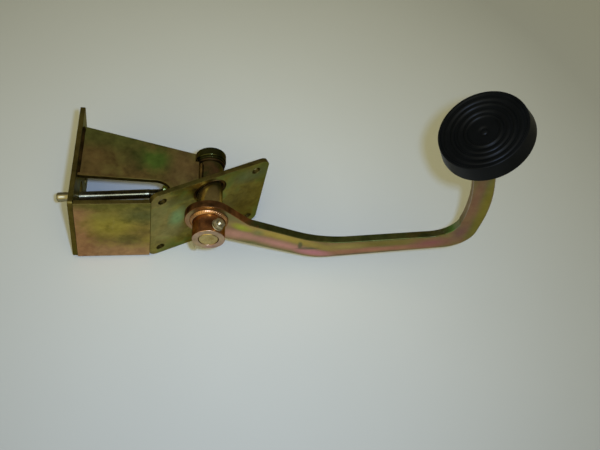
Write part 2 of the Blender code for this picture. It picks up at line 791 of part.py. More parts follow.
def build_lever(pedal):
    collar = ring(BORE_RADIUS, COLLAR_RADIUS, COLLAR_FRONT, COLLAR_REAR, SIDES, HUB_CHAMFER)
    piece("lever_collar", collar, MATERIALS["collar"], pedal, (0, 0, 0), ALONG_Y)
    collar_bead = round_bead(SHAFT_RADIUS, COLLAR_REAR, SHAFT_PROUD - EDGE)
    piece("collar_weld", collar_bead, MATERIALS["weld"], pedal, (0, 0, 0), ALONG_Y)
    hole = circle((0, -LEVER_LENGTH), JOINT_BOLT_RADIUS + GAP, SMALL_SIDES)
    bm = prism(lever_outline(), LEVER_THICK, [hole])
    place = (0, COLLAR_FRONT + LEVER_THICK, 0)
    turn = (math.radians(90), LEVER_ANGLE, 0)
    lever = piece("operating_lever", bm, MATERIALS["plate"], pedal, place, turn)
    deburr(lever)
    lever_bead(pedal)


def build_rod_joint(pedal):
    """The ball that is clamped to the lever's foot, with its bolt and nut."""
    centre = (PIN.x, BALL_Y, PIN.y)
    bore = JOINT_BOLT_RADIUS + GAP
    half = BALL_WIDTH / 2
    levels = [half - BALL_WIDTH * i / BALL_STEPS for i in range(BALL_STEPS + 1)]
    profile = [(bore, -half), (bore, half)] + [(chord(BALL_RADIUS, z), z) for z in levels]
    ball = turned(profile, SMALL_SIDES)
    piece("rod_end_ball", ball, MATERIALS["shaft"], pedal, centre, ALONG_Y)
    nut_low = half + 2 * GAP + LEVER_THICK
    hex_bolt(
        "rod_end_bolt",
        JOINT_BOLT_RADIUS,
        JOINT_BOLT_FLATS,
        JOINT_BOLT_HEAD,
        -half - GAP,
        nut_low + JOINT_NUT + BOLT_END,
        pedal,
        centre,
        ALONG_Y,
    )
    hex_nut(
        "rod_end_nut",
        bore,
        JOINT_BOLT_FLATS,
        nut_low + GAP,
        nut_low + JOINT_NUT,
        pedal,
        centre,
        ALONG_Y,
    )


def ring_surface(radius):
    """The height of the pad's dished face at a radius, below its raised rim."""
    return -PAD_RIM_STEP - PAD_DISH * (1 - (radius / PAD_FACE_RADIUS) ** 2)


def pad_profile():
    """The rubber pad from the middle of its face, out over the rings and round its lip."""
    dimple = ring_surface(0) - PAD_DIMPLE_DEPTH
    profile = [
        (0, dimple + PAD_DOT_HEIGHT),
        (PAD_DOT_RADIUS * DOT_CROWN, dimple + PAD_DOT_HEIGHT * DOT_SHOULDER),
        (PAD_DOT_RADIUS, dimple),
        (PAD_DIMPLE_RADIUS, ring_surface(PAD_DIMPLE_RADIUS)),
    ]
    for i in range(PAD_RING_COUNT):
        radius = PAD_RING_FIRST + i * PAD_RING_PITCH
        height = PAD_LOW_RING if i % 2 else PAD_RING_HEIGHT
        for step, share in ((-1, 0), (-RING_CROWN, 1), (RING_CROWN, 1), (1, 0)):
            r = radius + step * PAD_RING_HALF
            profile.append((r, ring_surface(r) + share * height))
    rim = PAD_FACE_RADIUS - PAD_RIM_ROUND
    rim_foot = PAD_FACE_RADIUS - PAD_RIM_WIDTH
    shoulder = PAD_RIM_ROUND * SMALL_ROUND
    profile += [(rim_foot, ring_surface(rim_foot)), (rim_foot + PAD_RIM_STEP / 2, 0), (rim, 0)]
    profile += [(PAD_FACE_RADIUS - shoulder, -shoulder), (PAD_FACE_RADIUS, -PAD_RIM_ROUND)]
    profile = [(r, z + PAD_RIM) for r, z in profile]
    floor = -GAP - PAD_LIP
    lip = BACKING_RADIUS - PAD_LIP_WIDTH
    pocket = BACKING_RADIUS + GAP
    corner = PAD_LIP / 2
    profile += [(PAD_RADIUS, floor + corner), (PAD_RADIUS - corner, floor)]
    profile += [(lip, floor), (lip, -GAP), (pocket, -GAP), (pocket, PAD_SEAT), (0, PAD_SEAT)]
    return profile


def build_pad(pedal):
    end = riser()[2]
    middle = end + pad_normal() * GAP
    arm_middle = (ARM_FRONT + ARM_REAR) / 2
    place = (middle.x, arm_middle, middle.y)
    frame = empty("pad_frame", pedal, place, (0, -PAD_ANGLE, 0))
    backing = bar(BACKING_RADIUS, 0, BACKING_THICK, EDGE, FINE_SIDES)
    piece("pad_backing_plate", backing, MATERIALS["plate"], frame)
    piece("rubber_pad", turned(pad_profile(), FINE_SIDES), MATERIALS["rubber"], frame)
    half_length = RISER_WIDTH / 2 - PAD_WELD_INSET
    for name, side in (("pad_weld_front", -1), ("pad_weld_rear", 1)):
        root = side * ARM_THICK / 2
        bead(
            name,
            (-half_length, root, 0),
            (half_length, root, 0),
            (0, side, 0),
            (0, 0, -1),
            PAD_BEAD_LEG,
            frame,
        )


def rod_direction():
    """From the ball to the middle of the hole in the flange."""
    ball = Vector((PIN.x, BALL_Y, PIN.y + PIVOT_HEIGHT))
    hole = Vector((FLANGE_BACK + PLATE / 2, ROD_HOLE_Y, ROD_HOLE_Z))
    return hole - ball


def build_pushrod(pedal):
    """The rod end and rod are drawn along -x of a frame that stands at the ball."""
    direction = rod_direction()
    turn = Vector((-1, 0, 0)).rotation_difference(direction).to_euler()
    pivot = empty("pushrod_pivot", pedal, (PIN.x, BALL_Y, PIN.y))
    frame = empty("pushrod_frame", pivot, (0, 0, 0), turn)
    socket_bore = BALL_RADIUS + GAP
    half = HOUSING_WIDTH / 2
    levels = [half - HOUSING_WIDTH * i / BALL_STEPS for i in range(BALL_STEPS + 1)]
    profile = [(HOUSING_RADIUS, -half), (HOUSING_RADIUS, half)]
    profile += [(chord(socket_bore, z), z) for z in levels]
    housing = piece(
        "rod_end_housing", turned(profile, SIDES), MATERIALS["fastener"], frame, (0, 0, 0), ALONG_Y
    )
    along_rod = (0, math.radians(-90), 0)
    root = (socket_bore + HOUSING_RADIUS) / 2
    rod_bore = ROD_RADIUS + GAP
    floor = SOCKET_LENGTH - SOCKET_DEPTH
    mouth = SOCKET_RADIUS * SHANK_MOUTH
    shank_profile = [(0, root), (mouth, root), (SOCKET_RADIUS, root + SOCKET_RADIUS / 2)]
    shank_profile += [(SOCKET_RADIUS, SOCKET_LENGTH), (rod_bore, SOCKET_LENGTH)]
    shank_profile += [(rod_bore, floor), (0, floor)]
    shank = piece(
        "rod_end_shank_tool",
        turned(shank_profile, SMALL_SIDES),
        MATERIALS["fastener"],
        frame,
        (0, 0, 0),
        along_rod,
    )
    boolean(housing, shank, "UNION")
    nut_low = SOCKET_LENGTH + GAP
    hex_nut(
        "rod_jam_nut",
        rod_bore,
        JAM_NUT_FLATS,
        nut_low,
        nut_low + JAM_NUT,
        frame,
        (0, 0, 0),
        along_rod,
    )
    reach = direction.length + PLATE / 2 + ROD_STUB
    low = floor + GAP
    rod_profile = [(0, low), (ROD_RADIUS, low), (ROD_RADIUS, reach - ROD_TIP_ROUND)]
    rod_profile += [
        (ROD_RADIUS - ROD_TIP_ROUND * SMALL_ROUND, reach - ROD_TIP_ROUND * SMALL_ROUND),
        (ROD_RADIUS - ROD_TIP_ROUND, reach),
        (0, reach),
    ]
    rod = turned(rod_profile, SMALL_SIDES)
    piece("pushrod", rod, MATERIALS["shaft"], frame, (0, 0, 0), along_rod)


clear_scene()

MATERIALS = {
    "plate": finish("green gold plating", (0.30, 0.27, 0.10), 0.8, 0.38),
    "side": finish("yellow gold plating", (0.47, 0.36, 0.13), 0.8, 0.38),
    "deck": finish("olive brown plating", (0.23, 0.19, 0.08), 0.8, 0.42),
    "arm": finish("pink gold plating", (0.44, 0.33, 0.17), 0.8, 0.36),
    "hub": finish("copper brown plating", (0.42, 0.24, 0.12), 0.85, 0.32),
    "collar": finish("dark plating", (0.10, 0.09, 0.05), 0.8, 0.40),
    "weld": finish("plated weld", (0.30, 0.22, 0.10), 0.8, 0.45),
    "shaft": finish("bright plating", (0.62, 0.56, 0.42), 0.95, 0.22),
    "fastener": finish("pale zinc plating", (0.55, 0.50, 0.36), 0.95, 0.28),
    "bronze": finish("bearing bronze", (0.45, 0.28, 0.12), 0.9, 0.38),
    "rubber": finish("black rubber", (0.012, 0.013, 0.013), 0.0, 0.62),
}

bracket_body = empty("bracket")
build_flange(bracket_body)
build_mounting_plate(bracket_body)
build_side_plate(bracket_body)
build_deck(bracket_body)
build_bearing(bracket_body)
build_welds(bracket_body)

pedal_body = empty("pedal_pivot", None, (0, 0, PIVOT_HEIGHT))
build_arm(pedal_body)
build_hub(pedal_body)
build_thrust_washers(pedal_body)
build_lever(pedal_body)
build_rod_joint(pedal_body)
build_pad(pedal_body)
build_pushrod(pedal_body)
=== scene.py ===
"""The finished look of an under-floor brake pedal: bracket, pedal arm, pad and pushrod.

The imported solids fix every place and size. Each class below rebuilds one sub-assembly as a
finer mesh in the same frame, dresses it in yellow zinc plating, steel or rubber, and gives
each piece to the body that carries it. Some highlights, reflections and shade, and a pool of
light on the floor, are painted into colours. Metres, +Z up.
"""

from __future__ import annotations

import json
import logging
import math
from dataclasses import dataclass, replace
from enum import Enum
from typing import Callable, ClassVar, Sequence

import bmesh
import bpy
from mathutils import Matrix, Vector, noise


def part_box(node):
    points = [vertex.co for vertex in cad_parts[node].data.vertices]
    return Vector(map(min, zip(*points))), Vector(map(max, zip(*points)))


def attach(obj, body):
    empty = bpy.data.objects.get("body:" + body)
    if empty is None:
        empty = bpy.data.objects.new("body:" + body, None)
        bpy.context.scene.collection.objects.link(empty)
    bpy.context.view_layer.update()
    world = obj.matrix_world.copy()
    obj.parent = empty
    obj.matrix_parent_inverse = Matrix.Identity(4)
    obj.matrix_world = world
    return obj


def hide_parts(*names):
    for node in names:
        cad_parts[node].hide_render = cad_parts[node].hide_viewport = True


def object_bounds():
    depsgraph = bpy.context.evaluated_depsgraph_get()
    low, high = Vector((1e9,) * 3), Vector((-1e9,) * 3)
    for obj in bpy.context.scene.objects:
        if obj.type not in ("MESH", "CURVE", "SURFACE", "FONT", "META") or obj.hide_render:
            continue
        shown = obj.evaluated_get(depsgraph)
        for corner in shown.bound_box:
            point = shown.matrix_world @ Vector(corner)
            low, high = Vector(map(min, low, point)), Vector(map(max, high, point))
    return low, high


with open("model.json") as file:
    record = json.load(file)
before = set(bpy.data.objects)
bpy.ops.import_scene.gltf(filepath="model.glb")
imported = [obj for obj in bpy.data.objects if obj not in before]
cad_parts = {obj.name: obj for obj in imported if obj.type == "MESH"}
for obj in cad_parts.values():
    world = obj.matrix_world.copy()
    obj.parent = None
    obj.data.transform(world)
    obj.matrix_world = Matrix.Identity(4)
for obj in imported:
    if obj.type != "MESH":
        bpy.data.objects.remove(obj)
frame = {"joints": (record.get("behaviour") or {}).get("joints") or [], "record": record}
CAD_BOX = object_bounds()

LOG = logging.getLogger("brake_pedal")

Colour = tuple[float, float, float]
Span = tuple[float, float]
Point = Sequence[float]
Row = Callable[[float], Span]
Loop = Sequence[Vector]
Socket = bpy.types.NodeSocket
Material = bpy.types.Material
Piece = bpy.types.Object
BMesh = bmesh.types.BMesh

GAP = 0.0003
DOUBLE = 1e-7
ARC_STEP = math.radians(4)
SHARP = math.radians(38)
NEARLY_STRAIGHT = math.radians(155)
CORNER_SHARES = (0.0, 0.3, 0.7, 1.0)
EDGE = 0.0004
SIDES = 96
HEX_TURN = math.radians(60)
THREAD_DEPTH = 0.55
THREAD_STEPS = 8
FULL_TURN = 2 * math.pi
QUARTER = math.pi / 2
UP = Vector((0, 0, 1))
NOISE_MIDDLE = 0.5
NOISE_SWING = 0.25


class Body(Enum):
    """The rigid bodies that pieces ride on."""

    BRACKET = "bracket"
    PEDAL = "pedal"
    PUSHROD = "pushrod"


class Slot(Enum):
    """The record's material slots."""

    GREEN_GOLD = "green_gold_plating"
    YELLOW_GOLD = "yellow_gold_plating"
    OLIVE_BROWN = "olive_brown_plating"
    PINK_GOLD = "pink_gold_plating"
    COPPER_BROWN = "copper_brown_plating"
    DARK = "dark_plating"
    WELD = "plated_weld"
    BRIGHT = "bright_plating"
    PALE_ZINC = "pale_zinc_plating"
    BRONZE = "bearing_bronze"
    RUBBER = "black_rubber"


class Grain(Enum):
    """The fine relief that plated metal keeps from the way it was made."""

    ROLLED = "rolled plate"
    TURNED = "turned on a lathe"
    CUT = "cut through the plate"
    MELTED = "weld metal"


# The scale, octaves and roughness of each grain's noise.
GRAINS = {
    Grain.ROLLED: (1100.0, 4.0, 0.62),
    Grain.TURNED: (2600.0, 2.0, 0.5),
    Grain.CUT: (1.0, 2.0, 0.5),
    Grain.MELTED: (1500.0, 4.0, 0.6),
}
CUT_STRETCH = (1700, 1700, 60)


def joint_place(name: str) -> Vector:
    """The point of a hinge at rest, by the joint's name in the record."""
    return Vector(next(j["pos_m"] for j in frame["joints"] if j["name"] == name))


PIVOT = joint_place("pedal_pivot")
PIN = joint_place("pushrod_pivot")
FACING_FRONT = Matrix.Rotation(QUARTER, 4, "X")
ALONG_Y = Matrix.Rotation(-QUARTER, 4, "X")
FACING_X = Matrix.Rotation(QUARTER, 4, "Z") @ FACING_FRONT


def beside_pivot(y: float) -> Matrix:
    """The frame of the world, moved to a place along the pedal's axis."""
    return Matrix.Translation((PIVOT.x, y, PIVOT.z))


class Graph:
    """A node tree, built from the texture coordinates up to its shader."""

    def __init__(
        self, owner: Material | bpy.types.World, shader: str = "Principled BSDF"
    ) -> None:
        """Starts the tree.

        Args:
            owner: The material or world that it belongs to.
            shader: The name of its shader node.
        """
        owner.use_nodes = True
        self.tree = owner.node_tree
        self.shader = self.tree.nodes[shader]
        self.coordinates = self.node("TexCoord", {}).outputs
        self.place = self.coordinates["Object"]

    def node(self, kind: str, inputs: dict[str | int, object], **settings: str) -> bpy.types.Node:
        """Adds a node.

        Args:
            kind: Its type, without the leading ShaderNode.
            inputs: Values for its inputs, by name or number, or sockets to link to them.
            settings: Its own properties.

        Returns:
            The node.
        """
        node = self.tree.nodes.new(f"ShaderNode{kind}")
        for name, setting in settings.items():
            setattr(node, name, setting)
        for name, value in inputs.items():
            self.feed(node, name, value)
        return node

    def feed(self, node: bpy.types.Node, name: str | int, value: object) -> None:
        """Links a socket to a node's input, or sets the input to a value.

        Args:
            node: The node.
            name: The input's name or number.
            value: The socket or value.
        """
        if isinstance(value, Socket):
            self.tree.links.new(value, node.inputs[name])
        else:
            node.inputs[name].default_value = value

    def stretched(self, scale: Point, offset: Point = (0, 0, 0), turn: Point = (0, 0, 0)) -> Socket:
        """The object's coordinates, stretched, turned by three angles and moved."""
        values = {"Scale": scale, "Location": offset, "Rotation": turn, "Vector": self.place}
        return self.node("Mapping", values).outputs["Vector"]

    def reach(self, place: Point, size: Point, turn: float) -> Socket:
        """How far a point is from the middle of an ellipsoid, 1 at its surface.

        Args:
            place: The ellipsoid's middle in the object's frame.
            size: Its half-axes.
            turn: Its angle about the object's z axis.

        Returns:
            The distance.
        """
        values = {"Location": place, "Rotation": (0, 0, turn), "Scale": size, "Vector": self.place}
        inside = self.node("Mapping", values, vector_type="TEXTURE").outputs["Vector"]
        return self.node("VectorMath", {0: inside}, operation="LENGTH").outputs["Value"]

    def noise(
        self,
        vector: Socket,
        scale: float,
        detail: float = 3.0,
        rough: float = 0.5,
        bend: float = 0.0,
    ) -> Socket:
        """A noise texture.

        Args:
            vector: Where to read it.
            scale: Cycles to a metre.
            detail: Octaves.
            rough: Weight of the small octaves.
            bend: Distortion.

        Returns:
            Its grey value.
        """
        values = {
            "Scale": scale,
            "Detail": detail,
            "Roughness": rough,
            "Distortion": bend,
            "Vector": vector,
        }
        return self.node("TexNoise", values).outputs["Fac"]

    def math(self, operation: str, *values: Socket | float) -> Socket:
        """One step of arithmetic."""
        return self.node("Math", dict(enumerate(values)), operation=operation).outputs["Value"]

    def mixed(self, a: Socket, share: float, b: Socket) -> Socket:
        """A share of one value added to another."""
        return self.math("ADD", self.math("MULTIPLY", a, share), b)

    def spread(self, value: Socket, source: Span, target: Span = (0.0, 1.0)) -> Socket:
        """A value mapped from one range to another and kept inside it."""
        names = ("Value", "From Min", "From Max", "To Min", "To Max")
        return self.node("MapRange", dict(zip(names, (value, *source, *target)))).outputs["Result"]

    def scaled(self, colour: Socket, factor: Socket) -> Socket:
        """A colour made lighter or darker by a factor."""
        values = {0: colour, "Scale": factor}
        return self.node("VectorMath", values, operation="SCALE").outputs["Vector"]

    def ramp(
        self, value: Socket, stops: Sequence[tuple[float, Colour]], blend: str = "B_SPLINE"
    ) -> Socket:
        """Colours laid along a value.

        Args:
            value: The value that picks the colour.
            stops: Pairs of a place from 0 to 1 and a colour.
            blend: The way from one stop to the next.

        Returns:
            The colour.
        """
        node = self.node("ValToRGB", {"Fac": value})
        node.color_ramp.interpolation = blend
        elements = node.color_ramp.elements
        while len(elements) < len(stops):
            elements.new(0.5)
        for element, (place, colour) in zip(elements, stops):
            element.position = place
            element.color = (*colour, 1)
        return node.outputs["Color"]

    def blend(self, factor: Socket, below: Socket, above: Colour) -> Socket:
        """One colour laid over another."""
        values = {"Factor": factor, 6: below, 7: (*above, 1)}
        return self.node("Mix", values, data_type="RGBA").outputs[2]

    def turned_place(self) -> Socket:
        """Coordinates that repeat round the object's z axis.

        Returns:
            The distance from that axis, then the height.
        """
        parts = self.node("SeparateXYZ", {"Vector": self.place}).outputs
        squares = [self.math("POWER", parts[axis], 2.0) for axis in "XY"]
        radius = self.math("SQRT", self.math("ADD", *squares))
        return self.node("CombineXYZ", {"X": radius, "Y": parts["Z"]}).outputs["Vector"]

    def finish(self, depth: float, height: Socket, **inputs: object) -> None:
        """Lays a bump under the shader and feeds the shader.

        Args:
            depth: The bump's depth in metres.
            height: Its height from 0 to 1.
            inputs: The shader's inputs, whose names have _ in place of a space.
        """
        values = {"Distance": depth, "Strength": 1.0, "Height": height}
        inputs["Normal"] = self.node("Bump", values).outputs["Normal"]
        for name, value in inputs.items():
            self.feed(self.shader, name.replace("_", " "), value)


@dataclass(frozen=True)
class Tint:
    """A soft patch of colour on the plating: most are the film's own colour, and some are painted
    highlights, reflections and shade.
    """

    place: Point
    size: Point
    colour: Colour
    strength: float = 0.7
    turn: float = 0.0
    soft: Span = (0.55, 1.45)
    ragged: float = 0.35

    def laid(self, graph: Graph, colour: Socket, wander: Socket) -> Socket:
        """Lays the patch over the plating.

        Args:
            graph: The tree to build in.
            colour: The colour below.
            wander: A grey value that makes the patch's rim wander.

        Returns:
            The tinted colour.
        """
        swing = graph.math("SUBTRACT", wander, NOISE_MIDDLE)
        away = graph.reach(self.place, self.size, self.turn)
        away = graph.mixed(swing, self.ragged / NOISE_SWING, away)
        return graph.blend(graph.spread(away, self.soft, (self.strength, 0.0)), colour, self.colour)


@dataclass(frozen=True)
class Plating:
    """Yellow zinc plating, whose film of varying depth gives soft clouds of colour.

    The clouds follow the place on the piece. Each finish has its own run of colours, cloud
    size and grain, and may have tints: patches where the film is seen to differ, and patches of
    painted highlight, reflection and shade.
    """

    name: str
    stops: tuple[tuple[float, Colour], ...]
    grain: Grain
    patch: float = 0.045
    cloud: float = 0.010
    cloud_share: float = 0.30
    film: Span = (0.46, 0.84)
    shift: Point = (0, 0, 0)
    metallic: float = 0.96
    rim: Colour = (0.40, 0.34, 0.16)
    roughness: Span = (0.28, 0.40)
    satin: Span = (0.55, 1.05)
    satin_share: float = 0.6
    relief_depth: float = 0.00003
    uneven: float = 0.32
    spots: float = 210.0
    spot_share: float = 0.35
    haze: Span = (0.42, 0.93)
    scratch_scale: Point = (30, 1500, 30)
    scratch_turn: Point = (0.2, 0.3, 0.5)
    scratch_reach: Span = (0.70, 0.78)
    scratch_strength: float = 0.16
    scratch_colour: Colour = (0.5, 0.44, 0.26)
    tints: tuple[Tint, ...] = ()

    def grain_value(self, graph: Graph) -> Socket:
        """The height of the fine relief.

        Args:
            graph: The tree to build in.

        Returns:
            The grey value.
        """
        scale, detail, rough = GRAINS[self.grain]
        place = graph.place
        if self.grain is Grain.TURNED:
            place = graph.turned_place()
        elif self.grain is Grain.CUT:
            place = graph.stretched(CUT_STRETCH)
        return graph.noise(place, scale, detail, rough)

    def material(self) -> Material:
        """Builds the node material.

        Returns:
            The material.
        """
        material = bpy.data.materials.new(self.name)
        graph = Graph(material)
        moved = graph.stretched((1, 1, 1), self.shift)
        patches = graph.noise(moved, 1 / self.patch, detail=2.5, bend=0.35)
        clouds = graph.noise(moved, 1 / self.cloud, detail=5.0, rough=0.58, bend=0.2)
        film = graph.spread(graph.mixed(clouds, self.cloud_share, patches), self.film)
        colour = graph.ramp(film, self.stops)
        for tint in self.tints:
            colour = tint.laid(graph, colour, clouds)
        spots = graph.noise(moved, self.spots, detail=4.0, rough=0.55)
        haze = graph.mixed(spots, self.spot_share, clouds)
        shade = graph.spread(haze, self.haze, (1 - self.uneven, 1 + self.uneven))
        colour = graph.scaled(colour, shade)
        along = graph.stretched(self.scratch_scale, self.shift, self.scratch_turn)
        bright = graph.spread(
            graph.noise(along, 1.0), self.scratch_reach, (0.0, self.scratch_strength)
        )
        colour = graph.blend(bright, colour, self.scratch_colour)
        grain = self.grain_value(graph)
        rough = graph.spread(
            graph.mixed(clouds, self.satin_share, grain), self.satin, self.roughness
        )
        graph.finish(
            self.relief_depth,
            grain,
            Base_Color=colour,
            Roughness=rough,
            Metallic=self.metallic,
            Specular_Tint=(*self.rim, 1),
        )
        return material


@dataclass(frozen=True)
class Rubber:
    """Moulded black rubber with a faint bloom on it."""

    name: str = "moulded black rubber"
    colour: Colour = (0.0016, 0.0020, 0.0020)
    bloom: Colour = (0.0040, 0.0046, 0.0048)
    bloom_scale: float = 45.0
    bloom_reach: Span = (0.40, 0.75)
    grain_scale: float = 1900.0
    grain_reach: Span = (0.30, 0.70)
    roughness: Span = (0.34, 0.46)
    gloss: float = 0.09
    relief_depth: float = 0.00005

    def material(self) -> Material:
        """Builds the node material.

        Returns:
            The material.
        """
        material = bpy.data.materials.new(self.name)
        graph = Graph(material)
        haze = graph.noise(graph.place, self.bloom_scale, detail=5.0)
        colours = ((0.0, self.colour), (1.0, self.bloom))
        grain = graph.noise(graph.place, self.grain_scale, rough=0.6)
        graph.finish(
            self.relief_depth,
            grain,
            Base_Color=graph.ramp(graph.spread(haze, self.bloom_reach), colours),
            Roughness=graph.spread(grain, self.grain_reach, self.roughness),
            Specular_IOR_Level=self.gloss,
        )
        return material


OLIVE: Colour = (0.168, 0.158, 0.052)
GOLD: Colour = (0.300, 0.240, 0.064)
LEAF: Colour = (0.150, 0.200, 0.062)
BROWN: Colour = (0.210, 0.150, 0.060)
STRAW: Colour = (0.460, 0.350, 0.150)
SILVER: Colour = (0.620, 0.560, 0.400)
NIGHT: Colour = (0.022, 0.020, 0.007)
MOSS: Colour = (0.070, 0.085, 0.026)
WINE: Colour = (0.110, 0.040, 0.018)
STAIN: Colour = (0.140, 0.150, 0.085)
# A tint's soft reach and ragged share: for a band of colour and for the stain.
BAND = ((0.2, 1.4), 0.12)
MARK = ((0.6, 1.3), 0.10)
# A face's height and the depth of the tints on it.
PLATE_TINT = (0.004, 0.02)
ARM_TINT = (0.0, 0.03)
# Rows of face_tints.
MOUNT_TINTS_AND_PAINTED_REFLECTION = (
    (-0.053, 0.0, 0.016, 0.050, (0.32, 0.26, 0.12), 0.60),
    # Painted reflection: this pale green patch left of the tube stands for the lamp's reflection in
    # the plate.
    (-0.034, 0.004, 0.008, 0.015, (0.24, 0.36, 0.17), 0.85),
    (-0.040, -0.018, 0.012, 0.012, (0.33, 0.30, 0.13), 0.6),
    (-0.034, 0.034, 0.018, 0.008, (0.125, 0.13, 0.060), 0.6),
    (0.038, -0.012, 0.022, 0.030, (0.21, 0.165, 0.060), 0.5),
    (0.046, 0.036, 0.018, 0.010, (0.19, 0.22, 0.12), 0.6),
)
SIDE_TINTS = (
    Tint((-0.090, -0.035, 0.0), (0.085, 0.02, 0.022), (0.47, 0.27, 0.15), 0.85),
    Tint((-0.128, -0.035, 0.045), (0.016, 0.02, 0.060), (0.43, 0.22, 0.115), 0.80),
    Tint((-0.094, -0.035, 0.058), (0.026, 0.02, 0.018), (0.375, 0.305, 0.060), 0.7),
    Tint((-0.084, -0.035, 0.094), (0.060, 0.02, 0.009), (0.14, 0.14, 0.035), 0.70),
    Tint((-0.060, -0.035, 0.074), (0.022, 0.02, 0.014), (0.10, 0.115, 0.050), 0.70),
    Tint((-0.078, -0.035, 0.030), (0.012, 0.02, 0.010), (0.135, 0.125, 0.055), 0.60),
)
DECK_TINTS = (
    (-0.120, 0.014, 0.020, 0.030, (0.29, 0.18, 0.070), 0.75),
    (-0.100, 0.052, 0.050, 0.014, (0.175, 0.20, 0.054), 0.70),
    (-0.056, 0.026, 0.017, 0.013, (0.145, 0.28, 0.050), 0.85),
    (-0.074, 0.020, 0.010, 0.014, (0.12, 0.11, 0.040), 0.55),
    (-0.028, 0.016, 0.014, 0.026, (0.33, 0.21, 0.095), 0.65),
)
ARM_TINTS = (
    (0.075, -0.0215, 0.052, 0.0060, (0.56, 0.42, 0.100), 0.90, -0.33, *BAND),
    (0.078, -0.0365, 0.055, 0.0065, (0.66, 0.31, 0.29), 0.90, -0.32, *BAND),
    (0.028, -0.0220, 0.018, 0.0080, (0.64, 0.33, 0.26), 0.80, -0.20, *BAND),
    (0.075, -0.0460, 0.060, 0.0024, (0.24, 0.23, 0.14), 0.80, -0.30, *BAND),
    (0.033, -0.0090, 0.010, 0.0050, (0.42, 0.47, 0.060), 0.90, -0.50, *BAND),
    (0.050, -0.0160, 0.006, 0.0050, (0.22, 0.24, 0.12), 0.75, -0.30, *BAND),
    (0.178, -0.0225, 0.055, 0.0052, (0.28, 0.22, 0.070), 0.85, 0.24, *BAND),
    (0.176, -0.0340, 0.060, 0.0048, (0.52, 0.22, 0.17), 0.90, 0.24, *BAND),
    (0.230, -0.0150, 0.022, 0.0080, (0.42, 0.155, 0.17), 0.90, 0.30, *BAND),
    (0.176, -0.0405, 0.070, 0.0018, (0.16, 0.14, 0.12), 0.80, 0.25, *BAND),
    (0.2530, 0.0080, 0.008, 0.0160, (0.25, 0.115, 0.14), 0.80, -0.10, *BAND),
    (0.2640, 0.0120, 0.005, 0.0300, (0.21, 0.19, 0.060), 0.80, 0.00, *BAND),
    (0.2490, 0.0620, 0.0062, 0.0500, (0.34, 0.17, 0.12), 0.90, 0.12, *BAND),
    (0.2615, 0.0620, 0.0055, 0.0600, (0.32, 0.27, 0.055), 0.90, 0.12, *BAND),
    (0.0956, -0.0350, 0.0024, 0.0070, STAIN, 0.85, 0.12, *MARK),
    (0.1040, -0.0408, 0.0110, 0.0026, STAIN, 0.85, 0.10, *MARK),
    (0.1120, -0.0475, 0.0180, 0.0055, (0.68, 0.28, 0.34), 0.90, -0.10, *BAND),
    (0.1400, -0.0335, 0.0220, 0.0060, (0.46, 0.36, 0.13), 0.85, 0.20, *BAND),
)
ARM_EDGE_TINTS_AND_PAINTED_LIGHT = (
    (0.0, 0.0, 0.047, 0.040, (0.30, 0.12, 0.045), 0.90, 0.0, (0.8, 1.1)),
    # Painted dark reflection: the eye's cut edge, close to the slanted plate, is darkened.
    (-0.004, 0.004, 0.024, 0.028, (0.050, 0.028, 0.010), 0.85),
    # Painted highlight: a green glint on the inner edge at the bend.
    (0.246, 0.012, 0.010, 0.010, (0.10, 0.24, 0.050), 0.75),
    # Painted reflection of the floor: the riser's inner edge is lightened.
    (0.250, 0.080, 0.030, 0.060, (0.44, 0.34, 0.27), 0.90),
)


def face_tints(depth: Span, rows: Sequence[tuple]) -> tuple[Tint, ...]:
    """Tints on a face across z.

    Args:
        depth: The height of their middles and their half-axis along z.
        rows: Their middle's x and y, their half-axes along x and y, then as in Tint.

    Returns:
        The tints.
    """
    z, reach = depth
    return tuple(Tint((x, y, z), (wide, high, reach), *more) for x, y, wide, high, *more in rows)


